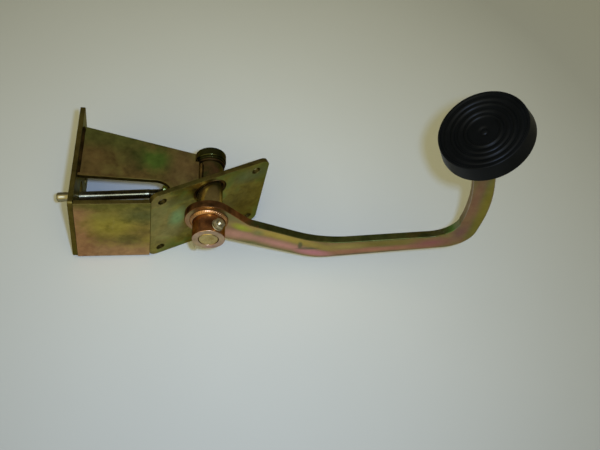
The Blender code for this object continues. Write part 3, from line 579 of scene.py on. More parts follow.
class Finishes:
    """Every material of the object, each made once."""

    def __init__(self) -> None:
        """Builds the materials."""
        plates = Plating(
            "green gold plating",
            ((0.0, BROWN), (0.30, OLIVE), (0.52, GOLD), (0.76, LEAF), (1.0, OLIVE)),
            Grain.ROLLED,
            shift=(3.1, 0.4, 1.7),
        )
        self.plates = plates.material()
        self.mount = replace(
            plates,
            name="green gold plating of the slanted plate",
            tints=face_tints(PLATE_TINT, MOUNT_TINTS_AND_PAINTED_REFLECTION),
        ).material()
        self.side = Plating(
            "yellow gold plating",
            ((0.0, BROWN), (0.30, (0.30, 0.225, 0.068)), (0.60, GOLD), (1.0, (0.20, 0.185, 0.065))),
            Grain.ROLLED,
            shift=(0.6, 5.2, 2.9),
            tints=SIDE_TINTS,
        ).material()
        self.deck = Plating(
            "olive brown plating",
            ((0.0, (0.26, 0.17, 0.062)), (0.35, (0.285, 0.22, 0.070)), (0.60, (0.245, 0.22, 0.068)),
             (1.0, (0.20, 0.20, 0.055))),
            Grain.ROLLED,
            shift=(7.3, 2.2, 0.3),
            tints=face_tints(PLATE_TINT, DECK_TINTS),
        ).material()
        self.arm = Plating(
            "pink gold plating",
            ((0.0, (0.34, 0.20, 0.115)), (0.35, (0.33, 0.22, 0.115)), (0.65, (0.27, 0.22, 0.090)),
             (1.0, (0.20, 0.19, 0.085))),
            Grain.ROLLED,
            shift=(1.4, 8.8, 4.1),
            uneven=0.15,
            tints=face_tints(ARM_TINT, ARM_TINTS),
        ).material()
        edges = Plating(
            "cut edge plating of the arm with painted light",
            ((0.0, MOSS), (0.40, (0.095, 0.090, 0.026)), (0.75, MOSS), (1.0, (0.11, 0.085, 0.025))),
            Grain.CUT,
            roughness=(0.34, 0.50),
            shift=(2.4, 6.1, 5.5),
            relief_depth=0.00005,
            uneven=0.35,
            tints=face_tints(ARM_TINT, ARM_EDGE_TINTS_AND_PAINTED_LIGHT),
        )
        self.arm_edge = edges.material()
        self.edge = replace(
            edges,
            name="cut edge plating of the bracket",
            stops=((0.0, (0.09, 0.07, 0.02)), (0.5, (0.14, 0.105, 0.028)),
                   (1.0, (0.10, 0.09, 0.022))),
            tints=(),
        ).material()
        self.hub = Plating(
            "copper brown plating",
            ((0.0, WINE), (0.35, (0.55, 0.22, 0.075)), (0.60, (0.36, 0.15, 0.055)),
             (1.0, (0.58, 0.38, 0.13))),
            Grain.TURNED,
            roughness=(0.15, 0.25),
            patch=0.020,
            shift=(4.4, 3.3, 9.1),
        ).material()
        self.hub_face = Plating(
            "rose gold plating",
            ((0.0, (0.47, 0.28, 0.24)), (0.5, (0.45, 0.32, 0.22)), (1.0, (0.47, 0.34, 0.20))),
            Grain.TURNED,
            roughness=(0.24, 0.36),
            patch=0.016,
            shift=(6.6, 1.2, 3.8),
            uneven=0.25,
        ).material()
        self.shaft_face = Plating(
            "straw gold plating",
            ((0.0, (0.46, 0.32, 0.12)), (0.5, (0.47, 0.37, 0.17)), (1.0, STRAW)),
            Grain.TURNED,
            roughness=(0.20, 0.32),
            patch=0.010,
            shift=(1.6, 4.2, 3.0),
            uneven=0.25,
        ).material()
        self.collar = Plating(
            "dark olive plating",
            ((0.0, NIGHT), (0.5, (0.045, 0.050, 0.014)), (1.0, (0.068, 0.064, 0.019))),
            Grain.TURNED,
            roughness=(0.15, 0.24),
            shift=(9.9, 4.0, 2.0),
        ).material()
        self.tube = Plating(
            "red brown plating with a painted highlight",
            ((0.0, MOSS), (0.5, (0.14, 0.105, 0.034)), (1.0, (0.21, 0.105, 0.052))),
            Grain.TURNED,
            roughness=(0.16, 0.26),
            patch=0.018,
            shift=(5.0, 5.0, 1.0),
            # Painted highlight: the tube's front length, between the slanted plate and the arm, is
            # lightened to gold.
            tints=(Tint((0.0, 0.0, -0.020), (0.03, 0.03, 0.016), (0.46, 0.33, 0.12), 0.85),),
        ).material()
        welds = Plating(
            "plated weld metal",
            ((0.0, BROWN), (0.35, (0.30, 0.14, 0.045)), (0.65, GOLD), (1.0, (0.42, 0.31, 0.10))),
            Grain.MELTED,
            roughness=(0.26, 0.40),
            patch=0.012,
            shift=(8.0, 0.7, 6.0),
            uneven=0.35,
        )
        self.weld = welds.material()
        self.rose_weld = replace(
            welds,
            name="rose plated weld metal",
            stops=((0.0, (0.30, 0.13, 0.060)), (0.5, (0.46, 0.25, 0.13)),
                   (1.0, (0.36, 0.18, 0.06))),
            roughness=(0.20, 0.32),
        ).material()
        self.dark_weld = replace(
            welds,
            name="dark plated weld metal",
            stops=((0.0, NIGHT), (0.5, (0.075, 0.045, 0.014)), (1.0, (0.12, 0.07, 0.022))),
        ).material()
        self.bright = Plating(
            "bright drawn bar with painted shade",
            ((0.0, (0.20, 0.17, 0.085)), (0.5, (0.33, 0.30, 0.20)), (1.0, (0.28, 0.235, 0.12))),
            Grain.TURNED,
            metallic=0.98,
            roughness=(0.26, 0.34),
            relief_depth=0.00001,
            shift=(2.0, 2.5, 7.0),
            uneven=0.20,
            # Painted shade: the rod is darker over the length that runs inside the bracket, which
            # also dims its highlight there.
            tints=(Tint((0.0, 0.0, 0.084), (0.03, 0.03, 0.036), (0.075, 0.058, 0.022), 0.90),),
        ).material()
        self.zinc = Plating(
            "pale zinc fastener",
            ((0.0, (0.44, 0.38, 0.20)), (0.5, SILVER), (1.0, STRAW)),
            Grain.TURNED,
            metallic=0.98,
            roughness=(0.34, 0.46),
            patch=0.010,
            relief_depth=0.00002,
            shift=(3.0, 9.5, 0.0),
            uneven=0.25,
        ).material()
        self.bronze = Plating(
            "bearing bronze",
            ((0.0, (0.055, 0.035, 0.014)), (0.6, (0.085, 0.055, 0.022)),
             (1.0, (0.06, 0.045, 0.02))),
            Grain.TURNED,
            roughness=(0.30, 0.42),
            shift=(0.0, 1.5, 8.0),
            uneven=0.25,
        ).material()
        self.rubber = Rubber().material()


def spot(centre: Point, radius: float, angle: float) -> Vector:
    """The point of a circle in the plane at an angle."""
    return Vector(centre) + radius * Vector((math.cos(angle), math.sin(angle)))


def arc(centre: Point, radius: float, start: float, end: float) -> list[Vector]:
    """Points on an arc from one angle to another, both ends included."""
    steps = max(3, math.ceil(abs(end - start) / ARC_STEP))
    return [spot(centre, radius, start + (end - start) * i / steps) for i in range(steps + 1)]


def circle(centre: Point, radius: float, sides: int = 72) -> list[Vector]:
    """Points round a circle, none repeated."""
    return [spot(centre, radius, FULL_TURN * i / sides) for i in range(sides)]


def four_holes(centre: Point, across: float, up: float, radius: float) -> list[list[Vector]]:
    """Round holes at the four corners of a rectangle about a centre."""
    sides = [(side, level) for side in (-0.5, 0.5) for level in (-0.5, 0.5)]
    return [circle(Vector(centre) + Vector((s * across, t * up)), radius) for s, t in sides]


def filleted(corners: Sequence[tuple[Point, float]]) -> list[Vector]:
    """An outline with rounded corners.

    Args:
        corners: Pairs of a corner and its fillet radius, 0 for a plain point.

    Returns:
        The outline's points.
    """
    points = [Vector(corner) for corner, _ in corners]
    outline: list[Vector] = []
    for i, (here, (_, radius)) in enumerate(zip(points, corners)):
        if radius == 0:
            outline.append(here)
            continue
        before = (points[i - 1] - here).normalized()
        after = (points[(i + 1) % len(points)] - here).normalized()
        half = before.angle(after) / 2
        centre = here + (before + after).normalized() * radius / math.sin(half)
        reach = radius / math.tan(half)
        first = here + before * reach - centre
        last = here + after * reach - centre
        turn = math.atan2(first.x * last.y - first.y * last.x, first.dot(last))
        start = math.atan2(first.y, first.x)
        outline += arc(centre, radius, start, start + turn)
    return outline


def space(point: Point, z: float) -> Vector:
    """A point of the plane at a height."""
    return Vector((point[0], point[1], z))


def area(loop: Loop) -> float:
    """The signed area inside a loop, positive when it runs anticlockwise."""
    return sum(a.x * b.y - a.y * b.x for a, b in zip(loop, [*loop[1:], loop[0]])) / 2


def inset(loop: Loop, amount: float) -> list[Vector]:
    """The loop moved to its left, so inwards when it runs anticlockwise.

    Args:
        loop: The loop's points.
        amount: How far each side moves.

    Returns:
        The moved points.
    """
    sharpest = 0.3
    moved: list[Vector] = []
    for i, here in enumerate(loop):
        arriving = (here - loop[i - 1]).normalized()
        leaving = (loop[(i + 1) % len(loop)] - here).normalized()
        along = (arriving + leaving).normalized()
        across = Vector((-along.y, along.x))
        moved.append(here + across * amount / max(sharpest, along.dot(arriving)))
    return moved


def rounding(size: float, steps: int = 3) -> list[Span]:
    """Steps of a rounded edge as (inset, depth), from the face down to the side."""
    angles = [QUARTER * i / steps for i in range(steps + 1)]
    return [(size * (1 - math.sin(a)), size * (1 - math.cos(a))) for a in angles]


def strip(bm: BMesh, lower: Sequence, upper: Sequence, material: int = 0) -> None:
    """Faces between two loops of vertices that run the same way.

    Args:
        bm: The mesh that they go into.
        lower: One loop, which may be one vertex repeated.
        upper: The other loop.
        material: The faces' material index.
    """
    for i in range(len(upper)):
        j = (i + 1) % len(upper)
        corners = dict.fromkeys((lower[i], lower[j], upper[j], upper[i]))
        if len(corners) > 2:
            bm.faces.new(tuple(corners)).material_index = material


def plate(
    outline: Loop,
    depth: float,
    holes: Sequence[Loop],
    edge: float,
    bores: Sequence[Sequence[Loop]] = (),
) -> BMesh:
    """A flat piece cut to an outline, its corners rounded over.

    Args:
        outline: The outline in the plane.
        depth: The thickness along z.
        holes: The outlines of its holes.
        edge: The radius of its rounded corners.
        bores: Holes of a changing shape, each as loops of points in space from the top down.

    Returns:
        The mesh, whose sides have the material index 1.
    """
    top_down = [(shrink, depth - drop) for shrink, drop in rounding(edge)]
    levels = top_down + [(shrink, depth - z) for shrink, z in reversed(top_down)]
    walls = []
    for index, loop in enumerate((outline, *holes)):
        points = [Vector(p) for p in loop]
        if (area(points) > 0) != (index == 0):
            points.reverse()
        walls.append([[space(p, z) for p in inset(points, shrink)] for shrink, z in levels])
    bm = bmesh.new()
    caps: tuple[list, list] = ([], [])
    for wall in (*walls, *bores):
        rings = [[bm.verts.new(point) for point in loop] for loop in wall]
        for upper, lower in zip(rings, rings[1:]):
            strip(bm, lower, upper, 1)
        for cap, ring in zip(caps, (rings[0], rings[-1])):
            cap += [bm.edges.get((a, b)) for a, b in zip(ring, ring[1:] + ring[:1])]
    for cap in caps:
        bmesh.ops.triangle_fill(bm, edges=cap, use_beauty=True)
    return bm


def skinned(sections: Sequence[Loop], closed: bool) -> BMesh:
    """A solid drawn through sections of as many points each.

    Args:
        sections: The sections in order.
        closed: Whether the last joins the first. Otherwise both ends are capped.

    Returns:
        The mesh.
    """
    bm = bmesh.new()
    loops = [[bm.verts.new(point) for point in section] for section in sections]
    for first, second in zip(loops, loops[1:] + loops[:1] * closed):
        strip(bm, first, second)
    if not closed:
        bm.faces.new(loops[0])
        bm.faces.new(loops[-1])
    return bm


def row(radius: float, height: float) -> Row:
    """A row of a turned shape that is the same all round."""
    return lambda angle: (radius, height)


def spun(rows: Sequence[Row], sides: int = SIDES, closed: bool = False) -> BMesh:
    """A shape turned about z from rows that may change with the angle.

    Args:
        rows: The rows in order along the surface.
        sides: Number of steps round.
        closed: Whether the last row joins the first, as in a ring.

    Returns:
        The mesh. A row of radius 0 becomes one point.
    """
    bm = bmesh.new()
    angles = [FULL_TURN * i / sides for i in range(sides)]
    loops = []
    for make in rows:
        places = [(a, *make(a)) for a in angles]
        if places[0][1] == 0:
            loops.append([bm.verts.new((0, 0, places[0][2]))] * sides)
        else:
            points = [(r * math.cos(a), r * math.sin(a), z) for a, r, z in places]
            loops.append([bm.verts.new(point) for point in points])
    for lower, upper in zip(loops, loops[1:] + loops[:1] * closed):
        strip(bm, lower, upper)
    return bm


def softened(profile: Sequence[Point], radius: float, closed: bool) -> list[Row]:
    """Rows through a (radius, height) profile, with its sharp corners rounded over.

    Args:
        profile: The profile's points.
        radius: How far from a corner its rounding starts.
        closed: Whether the profile is a closed loop.

    Returns:
        The rows.
    """
    points = [Vector(p) for p in profile]
    rows: list[Row] = []
    for i, here in enumerate(points):
        before = points[i - 1] - here
        after = points[(i + 1) % len(points)] - here
        at_end = not closed and i in (0, len(points) - 1)
        if at_end or before.angle(after) > NEARLY_STRAIGHT:
            rows.append(row(here.x, here.y))
            continue
        reach = min(radius, before.length / 2, after.length / 2)
        start, end = here + before.normalized() * reach, here + after.normalized() * reach
        for share in CORNER_SHARES:
            bent = start.lerp(here, share).lerp(here.lerp(end, share), share)
            rows.append(row(bent.x, bent.y))
    return rows


def ring(
    inner: float, outer: float, low: float, high: float, edge: float = EDGE, sides: int = SIDES
) -> BMesh:
    """A tube or washer with rounded edges."""
    profile = ((inner, low), (outer, low), (outer, high), (inner, high))
    return spun(softened(profile, edge, True), sides, closed=True)


def bar(radius: float, low: float, high: float, chamfer: float, sides: int) -> BMesh:
    """A round bar with chamfered ends.

    Args:
        radius: Its radius.
        low: The height of its lower end.
        high: The height of its upper end.
        chamfer: The width of its chamfers.
        sides: Number of steps round.

    Returns:
        The mesh.
    """
    half = [(0, low), (radius - chamfer, low), (radius, low + chamfer)]
    half += [(radius, high - chamfer), (radius - chamfer, high), (0, high)]
    return spun(softened(half, chamfer / 3, False), sides)


def thread_rows(radius: float, low: float, high: float, pitch: float) -> list[Row]:
    """Rows of a screw thread, a triangular groove that climbs with the angle.

    Args:
        radius: The thread's outer radius.
        low: Height of its start.
        high: Height of its end.
        pitch: Height of one turn.

    Returns:
        The rows.
    """
    depth = pitch * THREAD_DEPTH
    count = max(2, round((high - low) / pitch * THREAD_STEPS))

    def at(height: float) -> Row:
        """The row at a height, where the groove fades out towards both ends of the thread.

        Args:
            height: The height.

        Returns:
            The row.
        """
        fade = min(1.0, (height - low) / pitch, (high - height) / pitch)

        def place(angle: float) -> Span:
            """The radius and height at an angle."""
            phase = (height / pitch - angle / FULL_TURN) % 1
            return radius - depth * fade * abs(2 * phase - 1), height

        return place

    return [at(low + (high - low) * i / count) for i in range(count + 1)]


def hex_row(flats: float, face: float, height: float, lean: float) -> Row:
    """A row on the six flats of a nut or head, where the chamfer of an end meets them.

    Args:
        flats: The size across the flats.
        face: The radius of the round end face.
        height: The height of that face.
        lean: How steeply the chamfer falls, below 0 at the upper end.

    Returns:
        The row.
    """

    def place(angle: float) -> Span:
        """The radius and height at an angle."""
        radius = flats / 2 / math.cos(angle % HEX_TURN - HEX_TURN / 2)
        return radius, height + lean * max(0.0, radius - face)

    return place


@dataclass(frozen=True)
class HexSize:
    """A hexagon nut or bolt: its screw, its size across the flats, and its pitch."""

    radius: float
    flats: float
    pitch: float
    chamfer: float = 0.58
    face_share: float = 0.475
    lead_share: float = 0.10
    skirt_share: float = 0.07
    hollow: Span = (0.62, 0.72)

    def nut(self, low: float, high: float) -> BMesh:
        """A nut between two heights.

        Args:
            low: The height of its lower face.
            high: The height of its upper face.

        Returns:
            The mesh.
        """
        face = self.flats * self.face_share
        bore = self.radius + GAP
        lead = (high - low) * self.lead_share
        rows = [
            row(bore, low + lead),
            row(bore + lead, low),
            row(face, low),
            hex_row(self.flats, face, low, self.chamfer),
            hex_row(self.flats, face, high, -self.chamfer),
            row(face, high),
            row(bore + lead, high),
            row(bore, high - lead),
        ]
        return spun(rows, closed=True)

    def bolt(self, head: float, seat: float, tip: float, plain: float) -> BMesh:
        """A bolt whose head is below its seat.

        Args:
            head: The head's height.
            seat: The height of the face under the head.
            tip: The height of the screw's end.
            plain: The height where the plain shank turns into thread.

        Returns:
            The mesh.
        """
        top = seat - head
        face = self.flats * self.face_share
        skirt = head * self.skirt_share
        floor, rim = self.hollow
        rows = [
            row(0, top + skirt),
            row(face * floor, top + skirt),
            row(face * rim, top),
            row(face, top),
            hex_row(self.flats, face, top, self.chamfer),
            hex_row(self.flats, face, seat - skirt, 0.0),
            row(face, seat - skirt),
            row(face, seat),
            row(self.radius, seat),
            row(self.radius, plain),
            *thread_rows(self.radius, plain + self.pitch / 4, tip - self.pitch / 2, self.pitch),
            row(self.radius - self.pitch / 2, tip),
            row(0, tip),
        ]
        return spun(rows)


@dataclass
class Station:
    """One place along a weld: its root, and the ways along each wall and along the seam."""

    root: Vector
    wall_a: Vector
    wall_b: Vector
    along: Vector


def round_station(radius: float, height: float, angle: float) -> Station:
    """A place of a weld round a bar that stands on a flat face.

    Args:
        radius: The bar's radius.
        height: The height of the face.
        angle: The angle round the bar.

    Returns:
        The station.
    """
    out = space(spot((0, 0), 1, angle), 0)
    return Station(out * radius + UP * height, out, UP, Vector((-out.y, out.x, 0)))


@dataclass(frozen=True)
class Bead:
    """A fillet weld laid in overlapping ripples, like coins pushed over.

    A crowned section is drawn from wall to wall at each station. Its size grows over each
    ripple and drops at the next, and its crown runs ahead of its toes.
    """

    leg: float
    pitch: float = 0.0019
    crown: float = 1.35
    swell: float = 0.13
    lead: float = 0.0011
    wander: float = 0.07
    wander_scale: float = 160
    across: int = 10
    per_ripple: int = 7

    def mesh(self, stations: Sequence[Station], closed: bool) -> BMesh:
        """The bead's mesh over its stations, per_ripple of them to a ripple."""
        return skinned([self.section(place, i) for i, place in enumerate(stations)], closed)

    def steps(self, length: float) -> int:
        """How many steps whole ripples take over a length."""
        return round(length / self.pitch) * self.per_ripple

    def fall(self, index: int) -> float:
        """How much of a ripple's drop is left at a station, from 1 to 0."""
        return (1 - index % self.per_ripple / self.per_ripple) ** 2

    def section(self, station: Station, index: int) -> list[Vector]:
        """The bead's section at one station.

        Args:
            station: Where it is.
            index: Its number along the seam.

        Returns:
            The section's points: the root, then from wall a to wall b.
        """
        drift = noise.noise(station.root * self.wander_scale) * self.wander
        leg = self.leg * (1 - self.swell * self.fall(index) + drift) - GAP
        points = [station.root + (station.wall_a + station.wall_b) * GAP]
        for i in range(self.across + 1):
            turn = QUARTER * i / self.across
            u = GAP + leg * math.cos(turn) ** self.crown
            v = GAP + leg * math.sin(turn) ** self.crown
            ahead = self.lead * math.sin(2 * turn)
            points.append(
                station.root + station.wall_a * u + station.wall_b * v + station.along * ahead
            )
        return points

    def straight(self, start: Vector, end: Vector, wall_a: Vector, wall_b: Vector) -> BMesh:
        """A bead along a straight seam between two walls.

        Args:
            start: The seam's first point.
            end: Its last point.
            wall_a: The way along one wall, away from the seam.
            wall_b: The way along the other.

        Returns:
            The mesh.
        """
        run = end - start
        along = run.normalized()
        reach = run.length - self.lead
        count = self.steps(reach)
        roots = [start + along * reach * i / count for i in range(count + 1)]
        return self.mesh([Station(root, wall_a, wall_b, along) for root in roots], closed=False)

    def round_bar(self, radius: float, height: float) -> BMesh:
        """A bead all round a bar that stands on a flat face.

        Args:
            radius: The bar's radius.
            height: The height of the face.

        Returns:
            The mesh.
        """
        count = self.steps(FULL_TURN * radius)
        angles = [FULL_TURN * i / count for i in range(count)]
        return self.mesh([round_station(radius, height, a) for a in angles], closed=True)


def placed(name: str, data: bpy.types.ID) -> Piece:
    """A new object in the scene.

    Args:
        name: The object's name.
        data: Its mesh, lamp or camera.

    Returns:
        The object.
    """
    piece = bpy.data.objects.new(name, data)
    bpy.context.scene.collection.objects.link(piece)
    return piece


def solid(name: str, bm: BMesh) -> Piece:
    """A new object from a mesh, which is closed up, turned outwards and freed.

    Args:
        name: The object's name.
        bm: The mesh.

    Returns:
        The object.
    """
    bmesh.ops.remove_doubles(bm, verts=bm.verts, dist=DOUBLE)
    bmesh.ops.recalc_face_normals(bm, faces=bm.faces)
    mesh = bpy.data.meshes.new(name)
    bm.to_mesh(mesh)
    bm.free()
    return placed(name, mesh)


def boolean(piece: Piece, operation: str, tool: Piece) -> bpy.types.Modifier:
    """Adds an exact boolean to a piece and brings the scene up to date.

    Args:
        piece: The piece to change.
        operation: UNION or DIFFERENCE.
        tool: The other solid.

    Returns:
        The modifier, which is the piece's first.
    """
    cut = piece.modifiers.new("boolean", "BOOLEAN")
    cut.operation, cut.solver, cut.object = operation, "EXACT", tool
    piece.modifiers.move(piece.modifiers.find(cut.name), 0)
    bpy.context.view_layer.update()
    return cut


@dataclass
class Group:
    """A sub-assembly whose pieces all ride on one body."""

    finishes: Finishes
    body: ClassVar[Body]

    def add(self, node: str, bm: BMesh, place: Matrix, slot: Slot, *materials: Material) -> Piece:
        """Makes a finished piece that stands for a node.

        Args:
            node: The node that the piece replaces.
            bm: Its mesh, in its own frame.
            place: Where that frame stands at rest.
            slot: The record's slot for the piece, which is not used.
            materials: Its materials by material index.

        Returns:
            The piece.
        """
        piece = solid(f"{node}_finished", bm)
        piece.data.shade_smooth()
        piece.data.set_sharp_from_angle(angle=SHARP)
        for material in materials:
            piece.data.materials.append(material)
        piece.matrix_world = place
        shading = piece.modifiers.new("even shading", "WEIGHTED_NORMAL")
        shading.keep_sharp = True
        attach(piece, self.body.value)
        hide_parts(node)
        LOG.info("%s: %d faces on %s", piece.name, len(piece.data.polygons), self.body.value)
        return piece


@dataclass
class Bracket(Group):
    """The welded bracket: four plates and the bearing tube, with its bushings and welds."""

    body = Body.BRACKET
    thick: float = 0.0047625
    edge: float = 0.0003
    mount_angle: float = math.radians(26.5)
    mount_holes_along: float = 0.1016
    mount_holes_up: float = 0.08255
    mount_hole_radius: float = 0.00435
    mount_margin: float = 0.0118
    mount_far_margin: float = 0.0144
    mount_far_margin_low: float = 0.0108
    mount_corner: float = 0.0085
    flange_near: float = -0.0346
    flange_corner: float = 0.003
    rod_hole: Span = (0.0127, -0.0106)
    rod_hole_radius: float = 0.015875
    cylinder_holes_across: float = 0.068
    cylinder_holes_up: float = 0.042
    cylinder_hole_radius: float = 0.0048
    slot_radius: float = 0.0163
    slot_centre: Span = (-0.0531, -0.0150)
    tube_radius: float = 0.0127
    tube_edge: float = 0.0005
    tube_sides: int = 120
    collar_radius: float = 0.0155
    collar_relief: float = 0.001
    shaft_radius: float = 0.009525
    bushing_wall: float = 0.0012
    bushing_edge: float = 0.0003
    bushing_flange: float = 0.0142
    bushing_length: float = 0.0159
    deck_past_tube: float = 0.0085
    groove_mouth: float = 0.0030
    groove_root: float = 0.0009
    groove_depth: float = 0.0024
    groove_sink: float = 0.0002
    groove_drop: float = 0.0003
    groove_crown: float = 0.0004
    deck_weld_over: float = 0.0004
    deck_weld_rise: Span = (0.42, 0.16)
    bead: Bead = Bead(0.0030)

    def build(self) -> None:
        """Builds every piece of the bracket."""
        self.out = Vector((math.sin(self.mount_angle), -math.cos(self.mount_angle)))
        self.along = Vector((math.cos(self.mount_angle), math.sin(self.mount_angle)))
        self.on_mount = Matrix.Rotation(self.mount_angle, 4, "Z") @ FACING_FRONT
        self.near_end = self.mount_holes_along / 2 + self.mount_margin
        self.flange_low, self.flange_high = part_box("master_cylinder_flange")
        self.deck_low, self.deck_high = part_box("deck_plate")
        tube_low, tube_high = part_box("bearing_tube")
        self.tube_front, self.tube_rear = tube_low.y, tube_high.y
        self.flange()
        self.mounting_plate()
        self.side_plate()
        self.deck()
        self.bearing()
        self.tube_weld()
        self.deck_tube_weld()
        self.straight_welds()

    def add_plate(self, node: str, bm: BMesh, place: Matrix, slot: Slot, face: Material) -> None:
        """A plate with its faces in one finish and its cut edges in another."""
        self.add(node, bm, place, slot, face, self.finishes.edge)

    def add_weld(self, node: str, bm: BMesh, place: Matrix = Matrix.Identity(4)) -> None:
        """A weld of the bracket."""
        self.add(node, bm, place, Slot.WELD, self.finishes.dark_weld)

    def flange(self) -> None:
        """The flange for the master cylinder, with the rod's hole and four stud holes."""
        low, high = self.flange_low, self.flange_high
        corners = ((low.y, low.z), (high.y, low.z), (high.y, high.z), (low.y, high.z))
        outline = filleted([(corner, self.flange_corner) for corner in corners])
        holes = [circle(self.rod_hole, self.rod_hole_radius, SIDES)]
        holes += four_holes(
            self.rod_hole,
            self.cylinder_holes_across,
            self.cylinder_holes_up,
            self.cylinder_hole_radius,
        )
        bm = plate(outline, self.thick, holes, self.edge)
        place = Matrix.Translation((low.x, 0, 0)) @ FACING_X
        self.add_plate("master_cylinder_flange", bm, place, Slot.GREEN_GOLD, self.finishes.plates)

    def mounting_plate(self) -> None:
        """The slanted plate, with its four bolt holes and the flared hole for the tube."""
        half_along = self.mount_holes_along / 2
        half_height = self.mount_holes_up / 2 + self.mount_margin
        corners = (
            (-self.near_end, -half_height),
            (half_along + self.mount_far_margin_low, -half_height),
            (half_along + self.mount_far_margin, half_height),
            (-self.near_end, half_height),
        )
        outline = filleted([(corner, self.mount_corner) for corner in corners])
        holes = four_holes(
            (0, 0), self.mount_holes_along, self.mount_holes_up, self.mount_hole_radius
        )
        flare = (self.groove_mouth - self.groove_root) / self.groove_depth
        floor = -self.groove_depth - GAP
        steps = (
            (self.groove_root + GAP - flare * floor, 0.0),
            (self.groove_root + GAP, floor),
            (GAP, floor),
            (GAP, -self.thick),
        )
        front = UP * self.thick
        bore = [[p + front for p in self.tube_oval(spread, rise)] for spread, rise in steps]
        bm = plate(outline, self.thick, holes, self.edge, [bore])
        place = Matrix.Translation(space(-self.out * self.thick, 0)) @ self.on_mount
        self.add_plate("frame_mounting_plate", bm, place, Slot.GREEN_GOLD, self.finishes.mount)

    def oval_point(self, angle: float, spread: float, rise: float) -> Vector:
        """A point beside the tube, in the slanted plate's frame.

        Args:
            angle: The angle round the tube.
            spread: The distance from the tube's side.
            rise: The height over the plate's front face.

        Returns:
            The point.
        """
        radius = self.tube_radius + spread
        along = radius * math.cos(angle) / math.cos(self.mount_angle)
        lean = rise * math.tan(self.mount_angle)
        return Vector((along - lean, radius * math.sin(angle) + PIVOT.z, rise))

    def tube_oval(self, spread: float, rise: float) -> list[Vector]:
        """Where a bar a little wider than the tube crosses a plane over the slanted face."""
        angles = [FULL_TURN * i / SIDES for i in range(SIDES)]
        return [self.oval_point(angle, spread, rise) for angle in angles]

    def side_corners(self) -> tuple[Vector, Vector, Vector, Vector]:
        """The side plate's corners, seen from above.

        Returns:
            Its front from flange to plate, then its back.
        """
        start = Vector((self.flange_high.x + GAP, self.flange_near))
        end = -self.along * (self.near_end + GAP)
        run = (end - start).normalized()
        inward = Vector((-run.y, run.x))
        back_end = end - self.out * self.thick / inward.dot(-self.out)
        back_start = start + Vector((0, self.thick / inward.y))
        return start, end, back_end, back_start

    def side_plate(self) -> None:
        """The side plate between flange and slanted plate, whose broad faces stand upright."""
        low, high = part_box("side_plate")
        bm = plate(self.side_corners(), high.z - low.z, (), self.edge)
        faces = sorted(bm.faces, key=lambda face: face.calc_area(), reverse=True)
        for i, face in enumerate(faces):
            face.material_index = int(i > 1)
        place = Matrix.Translation((0, 0, low.z))
        self.add_plate("side_plate", bm, place, Slot.YELLOW_GOLD, self.finishes.side)

    def slot_arc(self) -> list[Vector]:
        """The slot's round end.

        Returns:
            Its points from the flange's side to the back of the slanted plate.
        """
        reach = -(self.thick + GAP) - self.out.dot(Vector(self.slot_centre))
        end = math.atan2(self.out.y, self.out.x) + math.acos(reach / self.slot_radius)
        return arc(self.slot_centre, self.slot_radius, QUARTER, end)

    def behind(self, x: float, offset: float) -> float:
        """The y at x of the line that lies an offset behind the slanted plate's front face."""
        return (x * math.sin(self.mount_angle) + offset) / math.cos(self.mount_angle)

    def beside_axis(self, radius: float, relief: float) -> float:
        """The x where the deck's underside clears a bar on the axis, on the flange's side."""
        return -(math.sqrt(radius**2 - (self.deck_low.z - PIVOT.z) ** 2) + relief)

    def deck(self) -> None:
        """The deck, with its round-ended slot beside the side plate."""
        flange = self.flange_high.x + GAP
        edge = self.beside_axis(self.tube_radius, GAP)
        collar_edge = self.beside_axis(self.collar_radius, self.collar_relief)
        relief = self.tube_rear - self.collar_relief
        outline = [
            Vector((flange, self.deck_high.y)),
            Vector((flange, self.slot_centre[1] + self.slot_radius)),
            *self.slot_arc(),
            Vector((edge, self.behind(edge, self.thick + GAP))),
            Vector((edge, relief)),
            Vector((collar_edge, relief)),
            Vector((collar_edge, self.tube_rear + self.deck_past_tube)),
        ]
        bm = plate(outline, self.thick, (), self.edge)
        place = Matrix.Translation((0, 0, self.deck_low.z))
        self.add_plate("deck_plate", bm, place, Slot.OLIVE_BROWN, self.finishes.deck)

    def bearing(self) -> None:
        """The bearing tube and the flanged bushings in its ends."""
        place = Matrix.Translation(PIVOT) @ ALONG_Y
        bore = self.shaft_radius + GAP
        sleeve = bore + self.bushing_wall
        size = (sleeve + GAP, self.tube_radius, self.tube_front, self.tube_rear)
        tube = ring(*size, self.tube_edge, self.tube_sides)
        self.add("bearing_tube", tube, place, Slot.GREEN_GOLD, self.finishes.tube)
        for node, end, inward in (
            ("front_bushing", self.tube_front, 1),
            ("rear_bushing", self.tube_rear, -1),
        ):
            low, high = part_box(node)
            flange = low.y if inward > 0 else high.y
            face = end - inward * GAP
            tip = end + inward * self.bushing_length
            profile = [(bore, flange), (self.bushing_flange, flange), (self.bushing_flange, face)]
            profile += [(sleeve, face), (sleeve, tip), (bore, tip)]
            bm = spun(softened(profile, self.bushing_edge, True), closed=True)
            self.add(node, bm, place, Slot.BRONZE, self.finishes.bronze)

    def tube_weld(self) -> None:
        """The weld round the tube, which fills its groove and ends under the plate's face."""
        bead = self.bead
        count = bead.steps(FULL_TURN * self.tube_radius)
        sections = []
        for i in range(count):
            angle = FULL_TURN * i / count
            sink = self.groove_sink + self.groove_drop * bead.fall(i)
            floor = -self.groove_depth
            section = [self.oval_point(angle, spread, floor) for spread in (GAP, self.groove_root)]
            for j in range(bead.across + 1):
                share = j / bead.across
                spread = self.groove_mouth + (GAP - self.groove_mouth) * share
                ahead = bead.lead * math.sin(math.pi * share) / self.tube_radius
                rise = -sink - self.groove_crown * (2 * share - 1) ** 2
                section.append(self.oval_point(angle + ahead, spread, rise))
            sections.append(section)
        self.add_weld("tube_weld", skinned(sections, closed=True), self.on_mount)

